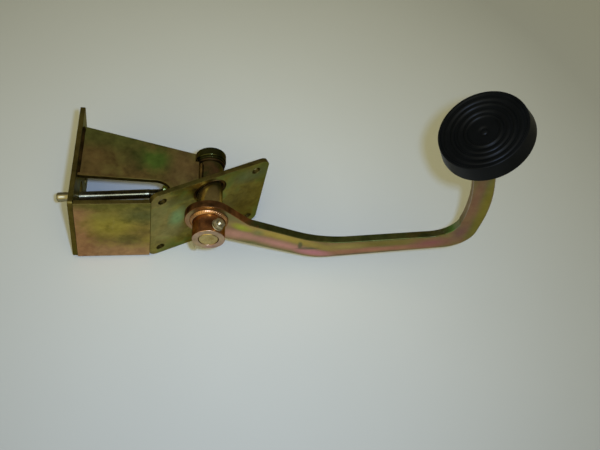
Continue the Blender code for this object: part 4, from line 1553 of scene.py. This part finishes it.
    def deck_tube_weld(self) -> None:
        """The weld that fills the groove between the deck's edge and the tube."""
        edge = self.beside_axis(self.tube_radius, GAP) + GAP
        radius = self.tube_radius + GAP
        underside = self.deck_low.z - PIVOT.z
        top = self.deck_high.z - PIVOT.z
        low = math.pi - math.asin((underside + self.thick / 2) / radius)
        high = math.pi - math.asin((top + self.deck_weld_over) / radius)
        bead = self.bead
        start = self.behind(edge, self.thick) + bead.leg
        reach = self.tube_rear - bead.leg - bead.lead - start
        count = bead.steps(reach)
        height, drop = self.deck_weld_rise
        sections = []
        for i in range(count + 1):
            y = start + reach * i / count
            rise = bead.leg * (height - drop * bead.fall(i))
            points = [Vector((edge, radius * math.sin(low))), *arc((0, 0), radius, low, high)]
            section = [(point, 0.0) for point in points]
            crest_start, crest_end = points[-1], Vector((edge, top))
            for j in range(1, bead.across):
                share = j / bead.across
                hump = math.sin(math.pi * share)
                point = crest_start.lerp(crest_end, share) + Vector((0, rise * hump))
                section.append((point, bead.lead * hump))
            section.append((crest_end, 0.0))
            sections.append([Vector((p.x, y + ahead, p.y + PIVOT.z)) for p, ahead in section])
        self.add_weld("deck_tube_weld", skinned(sections, closed=False))

    def straight_welds(self) -> None:
        """The beads between flange, side plate, deck and slanted plate."""
        face, deck_top, run_out = self.flange_high.x, self.deck_high.z, self.bead.leg
        start, end, back_end, back_start = self.side_corners()
        run = (end - start).normalized()
        inward, out = space((-run.y, run.x), 0), space(-self.out, 0)
        near = Vector((face, self.slot_centre[1] + self.slot_radius + run_out))
        far = Vector((face, self.deck_high.y - run_out))
        at_flange = Vector((face, back_start.y - run.y / run.x * GAP))
        at_mount = back_end + self.along * GAP
        deck_start = self.slot_arc()[-1] + self.out * GAP + self.along * run_out
        end_x = self.beside_axis(self.tube_radius, GAP) - run_out
        deck_end = Vector((end_x, self.behind(end_x, self.thick)))
        flange_low, flange_high = (corner.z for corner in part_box("side_flange_weld"))
        mount_low, mount_high = (corner.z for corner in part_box("side_mount_weld"))
        for node, first, low, last, high, wall_a, wall_b in (
            ("deck_flange_weld", near, deck_top, far, deck_top, (1, 0), UP),
            ("side_flange_weld", at_flange, flange_low, at_flange, flange_high, run, inward),
            ("side_mount_weld", at_mount, mount_low, at_mount, mount_high, -run, out),
            ("deck_mount_weld", deck_start, deck_top, deck_end, deck_top, out, UP),
        ):
            ends = (space(first, low), space(last, high))
            self.add_weld(node, self.bead.straight(*ends, space(wall_a, 0), wall_b))


@dataclass
class PedalArm(Group):
    """The arm, cut from thick plate: an eye, a valley, a bend and a riser to the pad."""

    body = Body.PEDAL
    edge: float = 0.0007
    eye_radius: float = 0.0238
    hub_radius: float = 0.015875
    neck: Span = (0.0398, -0.0039)
    neck_fillet: float = 0.018
    valley: Span = (0.1161, -0.0445)
    valley_width: float = 0.0262
    valley_top_fillet: float = 0.100
    valley_bottom_fillet: float = 0.055
    bend: Span = (0.2584, -0.0075)
    bend_width: float = 0.0208
    bend_inner_fillet: float = 0.030
    bend_outer_fillet: float = 0.034
    riser_to_knee: float = 0.064
    riser_width: float = 0.0205
    riser_lean: float = math.radians(17.2)
    knee_fillet: float = 0.215
    riser_length: float = 0.0988
    pad_angle: float = math.radians(35.7)
    pad_weld_inset: float = 0.0016
    pad_bead: Bead = Bead(0.0040, pitch=0.0023)

    def pad_normal(self) -> Vector:
        """The way that the pad faces, in the arm's plane."""
        return Vector((-math.sin(self.pad_angle), math.cos(self.pad_angle)))

    def riser(self) -> tuple[Vector, Vector, Vector]:
        """The upper part of the arm.

        Returns:
            The knee, the way from it to the pad, and the middle of the arm's end.
        """
        knee = Vector(self.bend) + Vector((0, self.riser_to_knee))
        up = Vector((-math.sin(self.riser_lean), math.cos(self.riser_lean)))
        return knee, up, knee + up * self.riser_length

    def mitre(
        self, before: Vector, here: Vector, after: Vector, width: float
    ) -> tuple[Vector, Vector]:
        """The two corners of a bar's outline where the bar turns.

        Args:
            before: The bar's last turning point.
            here: This turning point.
            after: The next one.
            width: The bar's width here.

        Returns:
            The corner on the left, then the one on the right.
        """
        arriving = (here - before).normalized()
        along = (arriving + (after - here).normalized()).normalized()
        across = Vector((-along.y, along.x)) * width / 2 / along.dot(arriving)
        return here + across, here - across

    def outline(self) -> list[Vector]:
        """The arm's outline.

        Returns:
            Its points, from the pivot and seen from the front.
        """
        neck, valley, bend = Vector(self.neck), Vector(self.valley), Vector(self.bend)
        knee, up, end = self.riser()
        valley_top, valley_low = self.mitre(neck, valley, bend, self.valley_width)
        bend_in, bend_out = self.mitre(valley, bend, knee, self.bend_width)
        knee_in, knee_out = self.mitre(bend, knee, end, self.riser_width)
        normal = self.pad_normal()
        end_in, end_out = (
            corner + up * (end - corner).dot(normal) / up.dot(normal)
            for corner in (knee_in, knee_out)
        )
        eye = self.eye_radius
        top_angle = math.atan2(neck.y, neck.x) + math.acos(eye / neck.length)
        low_angle = math.atan2(valley_low.y, valley_low.x) - math.acos(eye / valley_low.length)
        corners = [(p, 0.0) for p in arc((0, 0), eye, top_angle, low_angle + FULL_TURN)]
        corners += [
            (valley_low, self.valley_bottom_fillet),
            (bend_out, self.bend_outer_fillet),
            (knee_out, self.knee_fillet),
            (end_out, 0.0),
            (end_in, 0.0),
            (knee_in, self.knee_fillet),
            (bend_in, self.bend_inner_fillet),
            (valley_top, self.valley_top_fillet),
            (neck, self.neck_fillet),
        ]
        return filleted(corners)

    def build(self) -> Matrix:
        """Builds the arm and the welds under the pad.

        Returns:
            The pad's frame, on the arm's end and facing the driver.
        """
        low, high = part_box("pedal_arm")
        hole = circle((0, 0), self.hub_radius + GAP, SIDES)
        bm = plate(self.outline(), high.y - low.y, [hole], self.edge)
        finish = (self.finishes.arm, self.finishes.arm_edge)
        self.add("pedal_arm", bm, beside_pivot(high.y) @ FACING_FRONT, Slot.PINK_GOLD, *finish)
        middle = self.riser()[2] + self.pad_normal() * GAP
        seat = Vector((PIVOT.x + middle.x, (low.y + high.y) / 2, PIVOT.z + middle.y))
        pad_frame = Matrix.Translation(seat) @ Matrix.Rotation(-self.pad_angle, 4, "Y")
        half_length = self.riser_width / 2 - self.pad_weld_inset
        half_thick = (high.y - low.y) / 2
        for node, side in (("pad_weld_front", -1), ("pad_weld_rear", 1)):
            ends = [Vector((x, side * half_thick, 0)) for x in (-half_length, half_length)]
            bead = self.pad_bead.straight(*ends, Vector((0, side, 0)), -UP)
            self.add(node, bead, pad_frame, Slot.WELD, self.finishes.weld)
        return pad_frame


@dataclass
class FootPad(Group):
    """The round rubber pad, stretched over its steel backing plate."""

    body = Body.PEDAL
    frame: Matrix
    radius: float = 0.0423
    face_radius: float = 0.0401
    thick: float = 0.0162
    lip: float = 0.0020
    lip_width: float = 0.0040
    lip_steps: int = 4
    backing_radius: float = 0.0385
    backing_thick: float = 0.0032
    backing_sides: int = 128
    rim_round: float = 0.0008
    rim_steps: int = 5
    rim_width: float = 0.0030
    rim_step: float = 0.0010
    dish: float = 0.0022
    rings: tuple[Span, ...] = (
        (0.0157, 0.0015), (0.0215, 0.0009), (0.0273, 0.0015), (0.0331, 0.0009)
    )
    ring_half: float = 0.0020
    ring_crown: float = 0.75
    dot_radius: float = 0.0032
    dot_height: float = 0.0012
    dimple_radius: float = 0.0065
    dimple_depth: float = 0.0009
    dimple_flat: float = 1.1
    face_step: float = 0.00035
    sides: int = 160

    def face_height(self, radius: float) -> float:
        """The height of the pad's face against its rim.

        Args:
            radius: The distance from the pad's middle.

        Returns:
            The height in metres, below 0 inside the rim.
        """
        height = -self.rim_step - self.dish * (1 - (radius / self.face_radius) ** 2)
        for middle, rise in self.rings:
            offset = abs(radius - middle) / self.ring_half
            if offset < 1:
                height += rise * (1 - offset**2) ** self.ring_crown
        if radius < self.dimple_radius:
            fall = 1 + math.cos(math.pi * radius / self.dimple_radius)
            height -= self.dimple_depth * min(1.0, self.dimple_flat * fall)
        if radius < self.dot_radius:
            height += self.dot_height * math.sqrt(1 - (radius / self.dot_radius) ** 2)
        up_rim = (radius - self.face_radius + self.rim_width) / self.rim_step
        share = min(1.0, max(0.0, up_rim))
        return height * (1 - share**2 * (3 - 2 * share))

    def build(self) -> None:
        """Builds the backing plate and the rubber."""
        backing = bar(self.backing_radius, 0, self.backing_thick, EDGE, self.backing_sides)
        finish = self.finishes.plates
        self.add("pad_backing_plate", backing, self.frame, Slot.GREEN_GOLD, finish)
        rim = self.thick - self.lip - GAP
        flat = self.face_radius - self.rim_round
        count = round(flat / self.face_step)
        radii = [flat * i / count for i in range(count)]
        rows = [row(radius, rim + self.face_height(radius)) for radius in radii]
        floor = -GAP - self.lip
        lip = self.backing_radius - self.lip_width
        pocket = self.backing_radius + GAP
        seat = self.backing_thick + GAP
        for shrink, drop in rounding(self.rim_round, self.rim_steps):
            rows.append(row(self.face_radius - shrink, rim - drop))
        for shrink, rise in reversed(rounding(self.lip / 2, self.lip_steps)):
            rows.append(row(self.radius - shrink, floor + rise))
        inside = ((lip, floor), (lip, -GAP), (pocket, -GAP), (pocket, seat), (0, seat))
        rows += [row(*point) for point in inside]
        pad = spun(rows, self.sides)
        self.add("rubber_pad", pad, self.frame, Slot.RUBBER, self.finishes.rubber)


@dataclass
class PedalShaft(Group):
    """The shaft and all that is fixed to it: hub, cross bolt, collar, lever and rod end bolt."""

    body = Body.PEDAL
    shaft_radius: float = 0.009525
    shaft_chamfer: float = 0.0008
    shaft_sides: int = 128
    hub_radius: float = 0.015875
    hub_edge: float = 0.0008
    hub_sides: int = 144
    hub_face_depth: float = 0.0004
    cross_inset: float = 0.0074
    cross_tilt: float = math.radians(26)
    cross: HexSize = HexSize(0.0023812, 0.0098, 0.0008)
    cross_head: float = 0.0055
    cross_nut: float = 0.0042
    cross_washer: float = 0.0012
    cross_washer_radius: float = 0.0060
    cross_hole_sides: int = 48
    bolt_end: float = 0.0022
    washer_radius: float = 0.0148
    washer_edge: float = 0.0003
    washer_sides: int = 120
    collar_radius: float = 0.0155
    lever_thick: float = 0.00635
    lever_edge: float = 0.0005
    lever_length: float = 0.0416
    lever_angle: float = math.radians(3)
    lever_half_width: float = 0.0111
    lever_weld_share: float = 0.97
    joint: HexSize = HexSize(0.00397, 0.0127, 0.00106)
    joint_head: float = 0.0050
    joint_nut: float = 0.0068
    ball_radius: float = 0.0075
    ball_width: float = 0.0111
    ball_steps: int = 20
    hub_bead: Bead = Bead(0.0030, pitch=0.0021, swell=0.08)
    collar_bead: Bead = Bead(0.00185, pitch=0.0017)
    lever_bead: Bead = Bead(0.0024, pitch=0.0019)

    def build(self) -> None:
        """Builds every piece that is fixed to the shaft."""
        self.axis = Matrix.Translation(PIVOT) @ ALONG_Y
        arm_low, arm_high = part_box("pedal_arm")
        self.arm_front, self.arm_rear = arm_low.y, arm_high.y
        collar_low, collar_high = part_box("lever_collar")
        self.collar_front, self.collar_rear = collar_low.y, collar_high.y
        self.hub_and_shaft()
        self.cross_bolt()
        self.thrust_washers()
        self.collar_and_lever()
        self.rod_joint()

    def drilled(self, piece: Piece, hole: Matrix) -> None:
        """Drills the cross bolt's hole through a piece.

        Args:
            piece: The piece to drill.
            hole: The frame of the hole, which runs along its z.
        """
        bore, reach = self.cross.radius + GAP, 2 * self.hub_radius
        rows = [row(0, -reach), row(bore, -reach), row(bore, reach), row(0, reach)]
        tool = solid("cross_hole", spun(rows, self.cross_hole_sides))
        tool.matrix_world = hole
        cut = boolean(piece, "DIFFERENCE", tool)
        graph = bpy.context.evaluated_depsgraph_get()
        shading = piece.modifiers["even shading"]
        shading.show_viewport = False
        graph.update()
        mesh = bpy.data.meshes.new_from_object(piece.evaluated_get(graph))
        piece.modifiers.remove(cut)
        shading.show_viewport = True
        mesh.name = piece.data.name
        piece.data = mesh
        bpy.data.objects.remove(tool, do_unlink=True)

    def hub_and_shaft(self) -> None:
        """The hub on the arm's front, the bead round it, and the shaft through it."""
        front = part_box("pedal_hub")[0].y
        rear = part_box("pivot_shaft")[1].y
        size = (self.shaft_radius + GAP, self.hub_radius, front, self.arm_rear)
        hub = ring(*size, self.hub_edge, self.hub_sides)
        for face in hub.faces:
            face.material_index = int(face.calc_center_median().z < front + self.hub_face_depth)
        finish = (self.finishes.hub, self.finishes.hub_face)
        hub_piece = self.add("pedal_hub", hub, self.axis, Slot.COPPER_BROWN, *finish)
        shaft = bar(self.shaft_radius, front, rear, self.shaft_chamfer, self.shaft_sides)
        shaft_piece = self.add(
            "pivot_shaft", shaft, self.axis, Slot.BRIGHT, self.finishes.shaft_face
        )
        self.cross_frame = beside_pivot(front + self.cross_inset) @ Matrix.Rotation(
            self.cross_tilt, 4, "Y"
        )
        self.drilled(hub_piece, self.cross_frame)
        self.drilled(shaft_piece, self.cross_frame)
        weld = self.hub_bead.round_bar(self.hub_radius, 0)
        place = beside_pivot(self.arm_front) @ FACING_FRONT
        self.add("hub_weld", weld, place, Slot.COPPER_BROWN, self.finishes.rose_weld)

    def cross_bolt(self) -> None:
        """The bolt through hub and shaft, with a washer at each end and a nut."""
        seat = self.hub_radius + GAP
        washer_top = seat + self.cross_washer
        nut_low = washer_top + GAP
        nut_top = nut_low + self.cross_nut
        end = nut_top + self.bolt_end
        size = (self.cross.radius + GAP, self.cross_washer_radius)
        for node, bm in (
            ("hub_cross_bolt", self.cross.bolt(self.cross_head, -nut_low, end, nut_low)),
            ("hub_cross_nut", self.cross.nut(nut_low, nut_top)),
            ("hub_nut_washer", ring(*size, seat, washer_top, self.washer_edge)),
            ("hub_head_washer", ring(*size, -washer_top, -seat, self.washer_edge)),
        ):
            self.add(node, bm, self.cross_frame, Slot.PALE_ZINC, self.finishes.zinc)

    def thrust_washers(self) -> None:
        """The washers between the bushings and the arm or collar."""
        bore = self.shaft_radius + GAP
        for node, finish in (
            ("front_thrust_washer", self.finishes.zinc),
            ("rear_thrust_washer", self.finishes.collar),
        ):
            low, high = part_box(node)
            size = (bore, self.washer_radius, low.y, high.y)
            washer = ring(*size, self.washer_edge, self.washer_sides)
            self.add(node, washer, self.axis, Slot.PALE_ZINC, finish)

    def lever_outline(self) -> list[Vector]:
        """The lever's outline.

        Returns:
            Its top, coped to the collar, then its round foot.
        """
        radius = self.collar_radius + GAP
        half = math.asin(self.lever_half_width / radius)
        outline = arc((0, 0), radius, -QUARTER + half, -QUARTER - half)
        return outline + arc((0, -self.lever_length), self.lever_half_width, math.pi, FULL_TURN)

    def collar_and_lever(self) -> None:
        """The collar at the shaft's rear, the lever below it, and their welds."""
        size = (self.shaft_radius + GAP, self.collar_radius, self.collar_front, self.collar_rear)
        collar = ring(*size, self.hub_edge, self.hub_sides)
        self.add("lever_collar", collar, self.axis, Slot.DARK, self.finishes.collar)
        weld = self.collar_bead.round_bar(self.shaft_radius, self.collar_rear)
        self.add("collar_weld", weld, self.axis, Slot.WELD, self.finishes.weld)
        hole = circle((0, -self.lever_length), self.joint.radius + GAP)
        bm = plate(self.lever_outline(), self.lever_thick, [hole], self.lever_edge)
        behind = beside_pivot(self.collar_front + self.lever_thick)
        place = behind @ Matrix.Rotation(self.lever_angle, 4, "Y") @ FACING_FRONT
        finish = (self.finishes.plates, self.finishes.edge)
        self.add("operating_lever", bm, place, Slot.GREEN_GOLD, *finish)
        half = math.asin(self.lever_half_width / self.collar_radius) * self.lever_weld_share
        count = self.lever_bead.steps(2 * half * self.collar_radius)
        start = QUARTER + self.lever_angle - half
        angles = [start + 2 * half * i / count for i in range(count + 1)]
        stations = [round_station(self.collar_radius, 0, angle) for angle in angles]
        bead = self.lever_bead.mesh(stations, closed=False)
        self.add("lever_weld", bead, behind @ ALONG_Y, Slot.WELD, self.finishes.weld)

    def rod_joint(self) -> None:
        """The ball clamped to the lever's foot, with its bolt and nut."""
        place = Matrix.Translation(PIN) @ ALONG_Y
        half = self.ball_width / 2
        bore = self.joint.radius + GAP
        rows = [row(bore, -half), row(bore, half)]
        rows += [row(*point) for point in sphere(self.ball_radius, half, self.ball_steps)]
        ball = spun(rows, closed=True)
        self.add("rod_end_ball", ball, place, Slot.BRIGHT, self.finishes.bright)
        nut_low = half + 3 * GAP + self.lever_thick
        nut_top = half + 2 * GAP + self.lever_thick + self.joint_nut
        end = nut_top + self.bolt_end
        for node, bm in (
            ("rod_end_bolt", self.joint.bolt(self.joint_head, -half - GAP, end, nut_low)),
            ("rod_end_nut", self.joint.nut(nut_low, nut_top)),
        ):
            self.add(node, bm, place, Slot.PALE_ZINC, self.finishes.zinc)


def sphere(radius: float, half: float, steps: int) -> list[Span]:
    """Points (radius, height) down a sphere between two heights, half above and below 0."""
    levels = [half - 2 * half * i / steps for i in range(steps + 1)]
    return [(math.sqrt(radius**2 - z**2), z) for z in levels]


@dataclass
class PushRod(Group):
    """The rod end, its jam nut and the rod that reaches out through the flange."""

    body = Body.PUSHROD
    rod_radius: float = 0.0047625
    ball_radius: float = 0.0075
    housing_radius: float = 0.0111
    housing_width: float = 0.0087
    housing_edge: float = 0.0006
    housing_steps: int = 14
    socket_radius: float = 0.0072
    socket_length: float = 0.0390
    socket_depth: float = 0.0220
    neck_share: float = 0.8
    jam: HexSize = HexSize(0.0047625, 0.0143, 0.00106)
    jam_height: float = 0.0055
    tip_round: float = 0.0022
    tip_steps: int = 6
    thread_length: float = 0.0140
    thread_inside: float = 0.001

    def build(self) -> None:
        """Builds the pieces along the rod's own axis, from the ball to the tip."""
        tip = next(m for m in frame["record"]["mounts"] if m["name"] == "pushrod_tip")
        run = Vector(tip["pos_m"]) - PIN
        turn = Vector((-1, 0, 0)).rotation_difference(run).to_matrix().to_4x4()
        ball = Matrix.Translation(PIN) @ turn
        along = ball @ Matrix.Rotation(-QUARTER, 4, "Y")
        housing = self.housing(along.inverted() @ ball @ ALONG_Y)
        self.add("rod_end_housing", housing, along, Slot.PALE_ZINC, self.finishes.zinc)
        nut_low = self.socket_length + GAP
        nut_top = nut_low + self.jam_height
        nut = self.jam.nut(nut_low, nut_top)
        self.add("rod_jam_nut", nut, along, Slot.PALE_ZINC, self.finishes.plates)
        low = self.socket_length - self.socket_depth + GAP
        thread = (nut_top - self.thread_inside, nut_top + self.thread_length)
        rows = [row(0, low), row(self.rod_radius, low)]
        rows += thread_rows(self.rod_radius, *thread, self.jam.pitch)
        for shrink, drop in reversed(rounding(self.tip_round, self.tip_steps)):
            rows.append(row(self.rod_radius - shrink, run.length - drop))
        rows.append(row(0, run.length))
        self.add("pushrod", spun(rows), along, Slot.BRIGHT, self.finishes.bright)

    def housing(self, across: Matrix) -> BMesh:
        """The rod end's eye, joined to its socket.

        Args:
            across: The eye's frame, as seen from the socket's.

        Returns:
            The mesh.
        """
        bore = self.ball_radius + GAP
        half = self.housing_width / 2
        eye = [(self.housing_radius, -half), (self.housing_radius, half)]
        eye += sphere(bore, half, self.housing_steps)
        eye_mesh = spun(softened(eye, self.housing_edge, True), closed=True)
        root = (bore + self.housing_radius) / 2
        rod_bore = self.rod_radius + GAP
        floor = self.socket_length - self.socket_depth
        neck = self.socket_radius * self.neck_share
        shank = [(0, root), (neck, root), (self.socket_radius, root + self.socket_radius / 2)]
        shank += [(self.socket_radius, self.socket_length), (rod_bore, self.socket_length)]
        shank += [(rod_bore, floor), (0, floor)]
        bmesh.ops.transform(eye_mesh, matrix=across, verts=eye_mesh.verts)
        return joined(eye_mesh, spun(softened(shank, self.housing_edge, False)))


def joined(first: BMesh, second: BMesh) -> BMesh:
    """Two closed meshes united into one.

    Args:
        first: One mesh, which is freed.
        second: The other, which is freed.

    Returns:
        The united mesh.
    """
    objects = [solid("first", first), solid("second", second)]
    boolean(objects[0], "UNION", objects[1])
    result = bmesh.new()
    result.from_object(objects[0], bpy.context.evaluated_depsgraph_get())
    for obj in objects:
        bpy.data.objects.remove(obj, do_unlink=True)
    return result


@dataclass
class Studio:
    """A pale floor, soft light and the camera at the photograph's angle."""

    floor_height: float
    camera_place: Point = (-0.0376, -0.4803, 0.7094)
    camera_right: Point = (0.986, -0.0328, 0.1639)
    camera_up: Point = (-0.0621, 0.8384, 0.5415)
    camera_back: Point = (-0.1552, -0.5441, 0.8246)
    lens: float = 49.8
    clip_start: float = 0.01
    floor_size: float = 4.0
    floor_colour: Colour = (0.60, 0.615, 0.575)
    floor_sides: int = 64
    floor_cloud: float = 6.0
    floor_detail: float = 4.0
    floor_range: Span = (0.3, 0.7)
    floor_shade: float = 0.97
    floor_roughness: float = 0.7
    key_right: float = 0.050
    key_up: float = 0.020
    key_target: Point = (0.05, 0.0, 0.0)
    key_size: float = 0.035
    key_power: float = 5.0
    key_colour: Colour = (0.405, 0.58, 1.0)
    room: Colour = (0.15, 0.145, 0.11)
    window: Colour = (1.30, 1.17, 0.66)
    window_way: Point = (-0.30, -0.62, 0.72)
    window_reach: Span = (0.40, 0.90)
    # A painted pool of light on the floor: its middle, its reach, and its brightness from middle to
    # rim.
    painted_light_middle: Point = (0.06, 0.05, 0)
    painted_light_reach: Span = (0.10, 0.50)
    painted_light_range: Span = (1.06, 0.57)

    def build(self) -> None:
        """Builds the camera, the floor, the lamp and the world."""
        self.camera()
        self.floor()
        self.key()
        self.world()
        bpy.context.scene.view_settings.view_transform = "Standard"

    def camera(self) -> None:
        """The camera."""
        data = bpy.data.cameras.new("camera")
        data.lens = self.lens
        data.clip_start = self.clip_start
        camera = placed("camera", data)
        turn = Matrix((self.camera_right, self.camera_up, self.camera_back)).transposed()
        camera.matrix_world = Matrix.Translation(self.camera_place) @ turn.to_4x4()
        bpy.context.scene.camera = camera

    def floor(self) -> None:
        """The floor, at the object's lowest point, with a painted pool of light: its colour is
        lightest under the object and darker farther out.
        """
        bm = bmesh.new()
        size = {"segments": self.floor_sides, "radius": self.floor_size}
        bmesh.ops.create_circle(bm, cap_ends=True, **size)
        floor = solid("floor", bm)
        floor.location.z = self.floor_height
        material = bpy.data.materials.new("pale floor with a painted pool of light")
        graph = Graph(material)
        cloud = graph.noise(graph.place, self.floor_cloud, self.floor_detail)
        cloud = graph.spread(cloud, self.floor_range)
        low = tuple(self.floor_shade * c for c in self.floor_colour)
        colour = graph.ramp(cloud, ((0.0, low), (1.0, self.floor_colour)))
        # Painted pool of light: the floor's colour is scaled brighter near the object and darker
        # farther out.
        away = graph.reach(self.painted_light_middle, (1, 1, 1), 0.0)
        fade = graph.spread(away, self.painted_light_reach, self.painted_light_range)
        graph.feed(graph.shader, "Base Color", graph.scaled(colour, fade))
        graph.feed(graph.shader, "Roughness", self.floor_roughness)
        floor.data.materials.append(material)

    def key(self) -> None:
        """The lamp, beside the camera."""
        data = bpy.data.lights.new("key", "AREA")
        data.shape = "DISK"
        data.size = self.key_size
        data.energy = self.key_power
        data.color = self.key_colour
        lamp = placed("key", data)
        aside = Vector(self.camera_right) * self.key_right + Vector(self.camera_up) * self.key_up
        lamp.location = Vector(self.camera_place) + aside
        aim = Vector(self.key_target) - lamp.location
        lamp.rotation_euler = aim.to_track_quat("-Z", "Y").to_euler()

    def world(self) -> None:
        """A dim room with one broad soft light behind the camera."""
        world = bpy.data.worlds.new("room")
        bpy.context.scene.world = world
        graph = Graph(world, "Background")
        way = Vector(self.window_way).normalized()
        inputs = {0: graph.coordinates["Generated"], 1: way}
        toward = graph.node("VectorMath", inputs, operation="DOT_PRODUCT").outputs["Value"]
        stops = tuple(zip(self.window_reach, (self.room, self.window)))
        graph.feed(graph.shader, "Color", graph.ramp(toward, stops, "EASE"))


def plain(box: Sequence[Vector]) -> list[list[float]]:
    """A box as plain lists of numbers."""
    return [[float(value) for value in corner] for corner in box]


def main() -> None:
    """Builds the object and the studio round it."""
    logging.basicConfig(level=logging.INFO, format="%(name)s: %(message)s")
    finishes = Finishes()
    Bracket(finishes).build()
    pad_frame = PedalArm(finishes).build()
    FootPad(finishes, pad_frame).build()
    PedalShaft(finishes).build()
    PushRod(finishes).build()
    Studio(floor_height=CAD_BOX[0].z).build()


if __name__ == "__main__":
    main()
